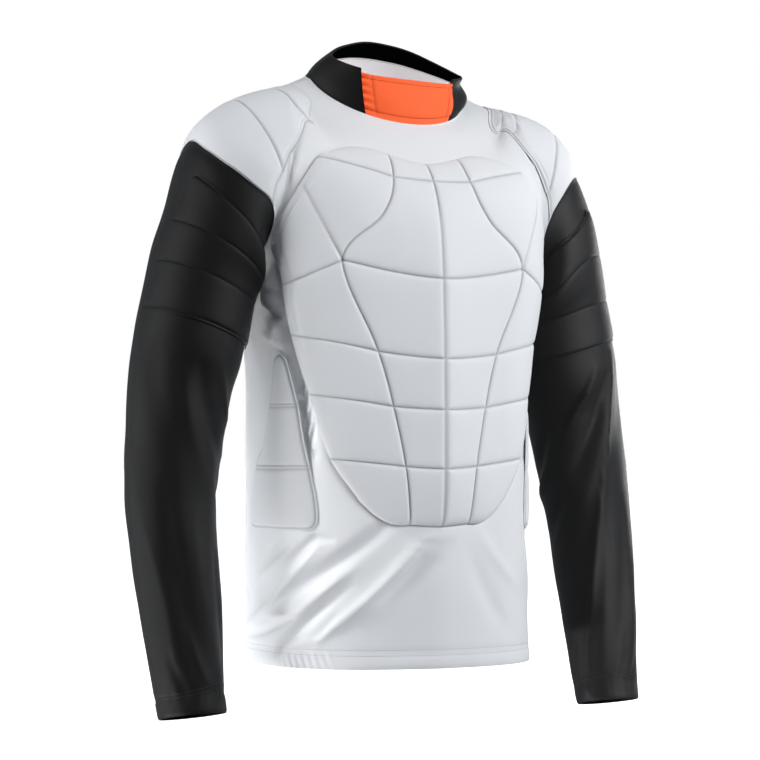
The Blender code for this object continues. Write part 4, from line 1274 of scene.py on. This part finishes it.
def make_body(face, name, counts, pads):
    columns, rows = counts
    w = spread(BODY_STRETCHES, columns, 0.0)[None, :]
    t = spread([0.0, ARMPIT, SHOULDER_TIP, NECK], [rows, *UPPER_ROWS], 0.0)[:, None]
    base = panel_point(face, w, t)
    far = run(base)
    turn = trunk_turn(base)
    push = pressed(trunk_folds(base) + grain_of(base, "body"), base, pads)
    push = push + turned_up(far, HEM_TALL, turn * TRUNK_DEGREE)
    waves = np.sin((turn * GATHER_DEGREE + far * GATHER_SLANT) * 2 * np.pi / PUCKER_LONG)
    gathers = waves * bell(turn - GATHER_TURN, GATHER_SPREAD)
    push = push + GATHER_DEEP * gathers * within(GATHER_TOP - far / HEM_TALL) ** 0.5
    push = sewn(push, base, [base[:, 0], base[:, -1], base[-1]])
    surface = cloth(name, base, push, False, -face, BODY_CLOTH, "white_knit")
    for k in range(len(NEEDLE_DEEP)):
        row = row_at(far[:, base.shape[1] // 2], HEM_TALL + k * NEEDLES)
        leave_path("%s_hem_%d" % (name, k), surface, row)


shoulders = list(shoulder.values())
make_body(-1, "front_body", FRONT_GRID, [chest] + list(flank.values()) + shoulders)
make_body(1, "back_body", BACK_GRID, shoulders)

# %% [markdown]
# ## Sleeves
# A sleeve is one black piece from the slanting black seam to the cuff, with a white cap above it.
# Knit on a hanging arm drags into long soft folds: short ones in the bend of the elbow, long ones
# down the forearm. The cuff is turned up like the hem.

# %% Place the sleeves' folds
SLEEVE_DEGREE = 0.00092
LEFT_SHIFT, LEFT_SCALE = 12.0, 1.15
# Which arm (0 both), turn and place along the sleeve of both ends, bow, half width and height in
# millimetres
SLEEVE_FOLDS = table(
    "only turn0 s0 turn1 s1 bow wide high",
    (-1, 105, 5.25, 160, 6.25, 0.08, 8, 3.2),
    (-1, 85, 5.45, 145, 6.60, 0.08, 9, -3.4),
    (1, 78, 4.95, 136, 6.20, 0.03, 5.5, 6.5),
    (1, 64, 5.15, 122, 6.55, 0.03, 8, -4.5),
    (1, 47, 4.80, 152, 8.95, 0.00, 8, 5.0),
    (0, 70, 5.70, 120, 6.90, 0.06, 9, 2.4),
    (0, 150, 6.05, 200, 6.60, 0.05, 8, -3.4),
    (0, 160, 6.45, 215, 6.80, 0.05, 8, 3.0),
    (0, 140, 6.75, 195, 7.20, 0.05, 9, -2.8),
    (0, 30, 5.20, 55, 6.40, 0.05, 12, -2.2),
    (0, 10, 5.60, 25, 7.10, 0.05, 12, 2.0),
    (0, 60, 6.90, 88, 8.60, 0.04, 12, -2.6),
    (0, 95, 7.10, 120, 8.70, 0.04, 11, 2.2),
    (0, 25, 7.20, 50, 8.70, -0.04, 11, 2.0),
    (0, 130, 7.50, 150, 8.80, 0.04, 10, -2.2),
    (0, 230, 5.40, 270, 6.60, 0.06, 11, -2.6),
    (0, 250, 6.20, 300, 7.40, 0.06, 11, 2.4),
    (0, 280, 5.30, 320, 6.40, 0.06, 12, -2.0),
    (0, 300, 7.00, 325, 8.60, 0.04, 11, -2.2),
    (0, 215, 7.30, 240, 8.70, 0.04, 11, 2.0),
    (0, 75, 8.30, 105, 8.85, 0.05, 7, 1.6),
    (0, 40, 8.45, 66, 8.90, 0.05, 7, -1.6),
    (0, 165, 8.35, 190, 8.85, 0.05, 7, -1.6),
)
SLEEVE_DOWN = np.cumsum(np.hypot(*[np.diff(SLEEVE[name], prepend=SLEEVE[name][0]) for name in "xz"]))


def sleeve_down(s):
    return np.interp(s, SLEEVE["s"], SLEEVE_DOWN)


def sleeve_folds(side, turn, s):
    """Folds on a sleeve, a little different on the two arms."""
    shift, scale = (0.0, 1.0) if side < 0 else (LEFT_SHIFT, LEFT_SCALE)
    folds = []
    for f in SLEEVE_FOLDS:
        if f["only"] != -side:
            ends = [((f["turn" + k] + shift) * SLEEVE_DEGREE, sleeve_down(f["s" + k])) for k in "01"]
            folds.append(fold_from(f, *ends, scale))
    return fold_height(turn * SLEEVE_DEGREE + 0.0 * s, sleeve_down(s), folds)


print("sleeve folds:", len(SLEEVE_FOLDS))

# %% Make the caps and the sleeves
SLEEVE_CLOTH = 0.0011
CUFF_TALL = 0.020
ROUND, CAP_ROWS, SLEEVE_ROWS = 108, 31, 161


def make_sleeve(side, word):
    turn = np.linspace(0, 360, ROUND, endpoint=False)[None, :]
    top = black_seam(side, turn)
    cap = sleeve_point(side, turn, np.linspace(0, 1, CAP_ROWS)[:, None] * top)
    push = pressed(grain_of(cap, "cap"), cap, [shoulder[word]])
    push = sewn(push, cap, [cap[0], cap[-1]])
    cloth("shoulder_cap_" + word, cap, push, True, side, SLEEVE_CLOTH, "white_knit")
    s = top + (SLEEVE_END - top) * np.linspace(0, 1, SLEEVE_ROWS)[:, None]
    base = sleeve_point(side, turn, s)
    far = run(base[::-1])[::-1]
    push = pressed(sleeve_folds(side, turn, s) + grain_of(base, "sleeve"), base, [arm[word]])
    push = sewn(push + turned_up(far, CUFF_TALL, turn * SLEEVE_DEGREE), base, [base[0]])
    surface = cloth("sleeve_" + word, base, push, True, side, SLEEVE_CLOTH, "black_knit")
    ring = list(range(base.shape[1])) + [0]
    for k in range(len(NEEDLE_DEEP)):
        row = row_at(far[:, 0], CUFF_TALL + k * NEEDLES)
        leave_path("cuff_%s_%d" % (word, k), surface, (row, ring))


for side, word in SIDES:
    make_sleeve(side, word)

# %% [markdown]
# ## Collar
# The collar is doubled knit, about four millimetres thick, with a soft fold along its top. The black
# band goes round the back and sides, and the orange insert closes the front a little lower. At the
# wearer's left the band buckles outward, and the insert's right end is gathered into small puckers.

# %% Shape a piece of the collar
COLLAR_CLOTH, COLLAR_BELLY, COLLAR_ROWS = 0.0042, 0.0025, 36
PINCH_TURN, PINCH_SPREAD, PINCH_DEEP = 18.0, 26.0, 0.005
TOP_ARC = np.radians(np.linspace(12, 84, 7))
# How far up the inside the facing goes, over the roll at the top
ROLL = 1.06


def collar_edge(name, turn):
    knots, values = COLLAR_TOP["turn"], COLLAR_TOP[name]
    knots = np.concatenate([[knots[-2] - 360], knots, [knots[1] + 360]])
    values = np.concatenate([[values[-2]], values, [values[1]]])
    return smooth(knots, values, turn)


def collar_point(seam, height):
    x, y = seam[..., 0], seam[..., 1] - SIDE_Y
    turn = np.degrees(np.mod(np.arctan2(-y, x), 2 * np.pi))
    top = np.stack([collar_edge(name, turn) for name in "xyz"], -1)
    away = np.mod(turn - PINCH_TURN + 180, 360) - 180
    pinch = PINCH_DEEP * bell(away, PINCH_SPREAD) * np.sin(2 * np.pi * height)
    bulge = COLLAR_BELLY * np.sin(np.pi * height) + pinch
    out = unit(np.stack([x, y, 0.0 * x], -1))
    return seam + (top - seam) * height[..., None] + out * bulge[..., None]


def make_collar_piece(name, seam, tall, finish, facing, lined, extra):
    """extra is the push on the base grid; the inside has a facing, and white knit where it is lined."""
    height = np.linspace(0, tall, COLLAR_ROWS)[:, None]
    base = collar_point(seam[None, :, :], height + 0.0 * seam[None, :, 0])
    normal = grid_normals(base, False, 1)
    outer = base + normal * extra(base)[..., None]
    inner = outer - normal * COLLAR_CLOTH
    middle, half = (outer[-1] + inner[-1]) / 2, (outer[-1] - inner[-1]) / 2
    up = unit(base[-1] - base[-2]) * COLLAR_CLOTH / 2
    arc = [(np.cos(a) * half, (np.sin(a) - 1) * up) for a in TOP_ARC]
    outer = np.concatenate([outer[:-2], [middle + out + rise for out, rise in arc]])
    inner = np.concatenate([inner[:-2], [middle - out + rise for out, rise in arc]])
    piece = skin(name + "_cloth", outer, inner, False, 1, finish)
    across = outer.shape[1] - 1
    start = (outer.shape[0] - 1) * across
    for index, (inside, reach) in enumerate(((facing, ROLL), ("white_knit", lined)), 1):
        piece.data.materials.append(FINISH[inside])
        for square in piece.data.polygons[start : start + int(reach * COLLAR_ROWS) * across]:
            square.material_index = index
    declare_cloth(piece, name, base, False)
    return outer, inner, normal


print("the collar stands up to %.0f mm at the back" % (1000 * COLLAR_TOP["z"].max()))

# %% Make the collar
FRONT_COLUMNS, INSERT_COLUMNS, INSERT_SHARE = 22, 5, 0.83
INSERT_EDGE = INSERT_COLUMNS / (FRONT_COLUMNS / 2) * INSERT_SHARE
INSERT_TALL, BAND_LINED = 0.9, 0.56
SIDE_POINTS, BACK_POINTS, INSERT_POINTS = 40, 90, 90
GATHERED_DEEP, GATHERED_WIDE, GATHERED_WAVES = 0.0022, 0.08, 34
# Rows of stitches across and up the insert: where, how wide a dip and how deep
INSERT_LINES = ((0.13, 0.010, 0.0013), (0.93, 0.010, 0.0011))
INSERT_ROWS = ((0.9, 0.025, 0.0010), (0.13, 0.03, 0.0010))
# Grid rows of the stitches: two along the insert, those between them, and one inside the band
INSERT_SEWN, INSERT_BETWEEN, BAND_SEWN = (5, 31), slice(4, 33), 19


def neck_seam(face, start, end, count):
    return panel_point(face, np.linspace(start, end, count), NECK)


def uneven_band(base):
    return sewn(grain_of(base, "band"), base, [base[0]])


def gathered(base):
    """The insert's push: puckers at its right end and dips along its stitches."""
    across = np.linspace(0, 1, base.shape[1])[None, :]
    rise = np.linspace(0, 1, base.shape[0])[:, None]
    push = GATHERED_DEEP * np.sin(rise * GATHERED_WAVES + 4 * across) * bell(across, GATHERED_WIDE)
    for place, dips in ((across, INSERT_LINES), (rise, INSERT_ROWS)):
        for at, wide, deep in dips:
            push = push - deep * bell(place - at, wide)
    return sewn(push + grain_of(base, "insert"), base, [base[0]])


def make_collar():
    left = neck_seam(-1, INSERT_EDGE, 1, SIDE_POINTS)
    right = neck_seam(-1, -1, -INSERT_EDGE, SIDE_POINTS)
    seam = np.concatenate([left[:-1], neck_seam(1, 1, -1, BACK_POINTS), right[1:]])
    # The inside of the band takes the darker copy of the black knit: painted shade
    looks = ("black_knit", "black_shaded_facing", BAND_LINED, uneven_band)
    _, band_inner, band_normal = make_collar_piece("collar_band", seam, 1.0, *looks)
    seam = neck_seam(-1, -INSERT_EDGE, INSERT_EDGE, INSERT_POINTS)
    looks = ("orange_knit", "orange_knit", 0.0, gathered)
    outer, _, normal = make_collar_piece("collar_front", seam, INSERT_TALL, *looks)
    for k, row in enumerate(INSERT_SEWN):
        leave_path("insert_row_%d" % k, (outer, normal), row)
    for k, (at, _, _) in enumerate(INSERT_LINES):
        column = int(at * (outer.shape[1] - 1))
        leave_path("insert_line_%d" % k, (outer, normal), (INSERT_BETWEEN, column))
    leave_path("band_inside", (band_inner, -band_normal), BAND_SEWN)


make_collar()

# %% [markdown]
# ## Stitches
# Sewing shows as short threads lying in the cloth, with a small hole between each two. Every line of
# stitches is one mesh of small rounded dashes along a path that a panel or pad left behind: the
# quilting, the two rows of the hem and cuffs, and the rows on the collar's insert.

# %% Sew along the paths
DASH_ENDS = np.array([-0.5, -0.36, 0.0, 0.36, 0.5])
DASH_SIZES = np.array([0.35, 0.9, 1.0, 0.9, 0.35])
DASH_SIDES = 6
DASH_FLAT, DASH_SUNK = 0.8, 0.35
LOOK_AHEAD = 0.0005


def dash_faces():
    """The faces of one dash: rings of squares, and an end cap at each side."""
    ring = list(range(DASH_SIDES))
    faces = []
    for start in range(0, (len(DASH_ENDS) - 1) * DASH_SIDES, DASH_SIDES):
        for k in ring:
            here, after = start + k, start + (k + 1) % DASH_SIDES
            faces.append((here, here + DASH_SIDES, after + DASH_SIDES, after))
    last = (len(DASH_ENDS) - 1) * DASH_SIDES
    return faces + [tuple(ring), tuple(last + k for k in reversed(ring))]


def sew(name, paths, pitch, long, thick, finish, slot):
    """Rounded dashes along each path, half sunk into the cloth."""
    turn = np.arange(DASH_SIDES)[:, None] * 2 * np.pi / DASH_SIDES
    points = []
    for line, normal in paths:
        far = run(line)
        count = max(1, int(far[-1] / pitch))
        at = (np.arange(count) + 0.5) * far[-1] / count
        ahead = unit(along(line, far, at + LOOK_AHEAD) - along(line, far, at - LOOK_AHEAD))
        up = unit(along(normal, far, at))
        aside = unit(np.cross(ahead, up))[:, None, None]
        centre = along(line, far, at) + up * thick * DASH_SUNK
        up = up[:, None, None]
        ring = aside * np.cos(turn) + up * np.sin(turn) * DASH_FLAT
        reach = ahead[:, None, None] * DASH_ENDS[:, None, None] * long
        dashes = centre[:, None, None] + reach + ring * DASH_SIZES[:, None, None] * thick
        points.append(dashes.reshape(-1, 3))
    points = np.concatenate(points)
    starts = range(0, len(points), len(DASH_ENDS) * DASH_SIDES)
    shape = dash_faces()
    faces = [tuple(start + k for k in face) for start in starts for face in shape]
    add_piece(name, points, faces, finish)
    print("%s: %d faces" % (name, len(faces)))


# Which paths, pitch, length and thickness of a stitch, its thread and the slot of its cloth
SEWING = {
    "quilting_thread": (("chest", "flank", "shoulder"), 0.0034, 0.0025, 0.00028, "white_thread", "white_pad"),
    "hem_thread": (("front_body", "back_body"), 0.0032, 0.0025, 0.00030, "white_thread", "white_knit"),
    "arm_pad_thread": ("arm", 0.0034, 0.0025, 0.00028, "black_thread", "black_pad"),
    "cuff_thread": ("cuff", 0.0032, 0.0025, 0.00030, "black_thread", "black_knit"),
    "insert_thread": ("insert", 0.0030, 0.0021, 0.00045, "orange_thread", "orange_knit"),
    "collar_thread": ("band", 0.0032, 0.0024, 0.00028, "black_thread", "black_knit"),
}
for name, (starts, *stitch) in SEWING.items():
    sew(name, [PATHS[path] for path in PATHS if path.startswith(starts)], *stitch)

# %% [markdown]
# ## Studio
# The photo's background is plain white with no shadow, so a white floor and a white surround are
# seen by the camera only. Large soft lights from both sides, from behind and from above give the
# black sleeves light edges and a dark middle. A few small lights do what a photographer's cards do:
# some have narrow beams and some fall on one piece alone, to bring out the folds above the hem, the
# flank, the far sleeve and the armpit.


# %% Floor and surround
def plain_white(name, strength):
    material, shader, start = new_finish(name)
    looks = {
        "Base Color": (0.9, 0.9, 0.9, 1),
        "Emission Color": (1, 1, 1, 1),
        "Emission Strength": strength,
    }
    start.dress(shader, looks)
    return material


FLOOR_Z = cad_box[0][2] - 0.012
FLOOR_HALF = 30
corners = [(x * FLOOR_HALF, y * FLOOR_HALF, FLOOR_Z) for x, y in ((-1, -1), (1, -1), (1, 1), (-1, 1))]
floor_mesh = bpy.data.meshes.new("studio_floor")
floor_mesh.from_pydata(corners, [], [(0, 1, 2, 3)])
floor_mesh.materials.append(plain_white("studio_white", 1.0))
floor = stand("studio_floor", floor_mesh)
floor.visible_diffuse = False
floor.visible_glossy = False
floor.visible_shadow = False

SURROUND, SIDE_WALLS = 0.14, 0.70
SKY_BLUE = (0.90, 0.95, 1.0, 1)

world = bpy.data.worlds.new("studio")
bpy.context.scene.world = world
world.use_nodes = True
sky = Yarn(world.node_tree)
seen = sky.node("ShaderNodeLightPath", output="Is Camera Ray")
toward = sky.node("ShaderNodeTexCoord", output="Generated")
level = {0: toward, 1: (math.cos(AZIMUTH), math.sin(AZIMUTH), 0.0)}
aside = sky.node("ShaderNodeVectorMath", {"operation": "DOT_PRODUCT"}, level, "Value")
walls = SURROUND + SIDE_WALLS * (aside * aside) * (aside * aside)
looks = {"Strength": walls + seen * (1 - walls), "Color": sky.mix(seen, SKY_BLUE, (1, 1, 1, 1))}
sky.dress(world.node_tree.nodes["Background"], looks)
print("floor at z = %.3f" % FLOOR_Z)

# %% Lights
# Place, what it looks at, size and power of each soft light
LIGHTS = {
    "right_soft": ((1.30, -1.84, 0.62), (0.0, 0.0, -0.35), 1.3, 45.0),
    "left_soft": ((-2.35, 0.10, 0.50), (0.0, 0.0, -0.40), 1.2, 31.0),
    "flank_soft": ((-2.15, 0.28, -1.75), (-0.14, -0.04, -0.85), 0.4, 2.2),
    "rear_left_soft": ((-2.04, 1.43, -0.60), (0.0, 0.0, -0.45), 1.0, 9.0),
    "rear_right_soft": ((2.25, 1.05, -0.10), (0.0, 0.0, -0.45), 1.0, 18.0),
    "top_soft": ((0.4, -0.9, 2.3), (0.0, 0.0, -0.20), 1.6, 5.0),
    "fold_soft": ((-1.70, -0.10, 0.72), (-0.06, -0.10, -0.66), 0.35, 0.54),
    "sleeve_soft": ((0.55, -2.35, -0.10), (0.28, 0.0, -0.45), 0.9, 46.0),
    "armpit_soft": ((-0.95, -0.95, 1.55), (-0.145, -0.075, -0.28), 0.10, 0.013),
    "inside_fill": ((0.0, -0.03, -0.16), (0.0, 0.04, 0.04), 0.08, 0.2),
}
# Narrow beams in degrees, the pieces that a light is kept to, and the pieces that it goes past
WIDE_BEAM = 180
BEAMS = {"fold_soft": 30, "flank_soft": 36, "armpit_soft": 8}
ONLY = {
    "fold_soft": ["front_body_cloth"],
    "armpit_soft": ["front_body_cloth"],
    "sleeve_soft": ["sleeve_left_cloth", "arm_pad_left_foam"],
}
PAST = {
    "flank_soft": ["sleeve_right_cloth"],
    "armpit_soft": [
        "sleeve_right_cloth",
        "arm_pad_right_foam",
        "shoulder_cap_right_cloth",
        "shoulder_pad_right_foam",
    ],
}


def group(name, pieces):
    """A collection of pieces for a light to be linked to."""
    made = bpy.data.collections.new(name)
    for piece in pieces:
        made.objects.link(bpy.data.objects[piece])
    return made


for name, (place, look, size, power) in LIGHTS.items():
    lamp = bpy.data.lights.new(name, "AREA")
    lamp.size = size
    lamp.energy = power
    lamp.spread = math.radians(BEAMS.get(name, WIDE_BEAM))
    holder = stand(name, lamp)
    holder.location = place
    holder.rotation_euler = (Vector(look) - Vector(place)).to_track_quat("-Z", "Y").to_euler()
    holder.visible_camera = False
    if name in ONLY:
        holder.light_linking.receiver_collection = group(name + "_falls_on", ONLY[name])
    if name in PAST:
        passed = group(name + "_goes_past", PAST[name])
        for entry in passed.collection_objects:
            entry.light_linking.link_state = "EXCLUDE"
        holder.light_linking.blocker_collection = passed
bpy.context.scene.view_settings.view_transform = "Standard"
print("lights:", ", ".join(LIGHTS))

# %% [markdown]
# ## Size
# Cloth may stand a little proud of the solids, but the vest keeps its size. The cut size of each
# cloth piece is printed.

# %% Print the cut sizes
print("cut sizes:", {name: tuple(round(v, 3) for v in flat) for name, flat in CUTS.items()})
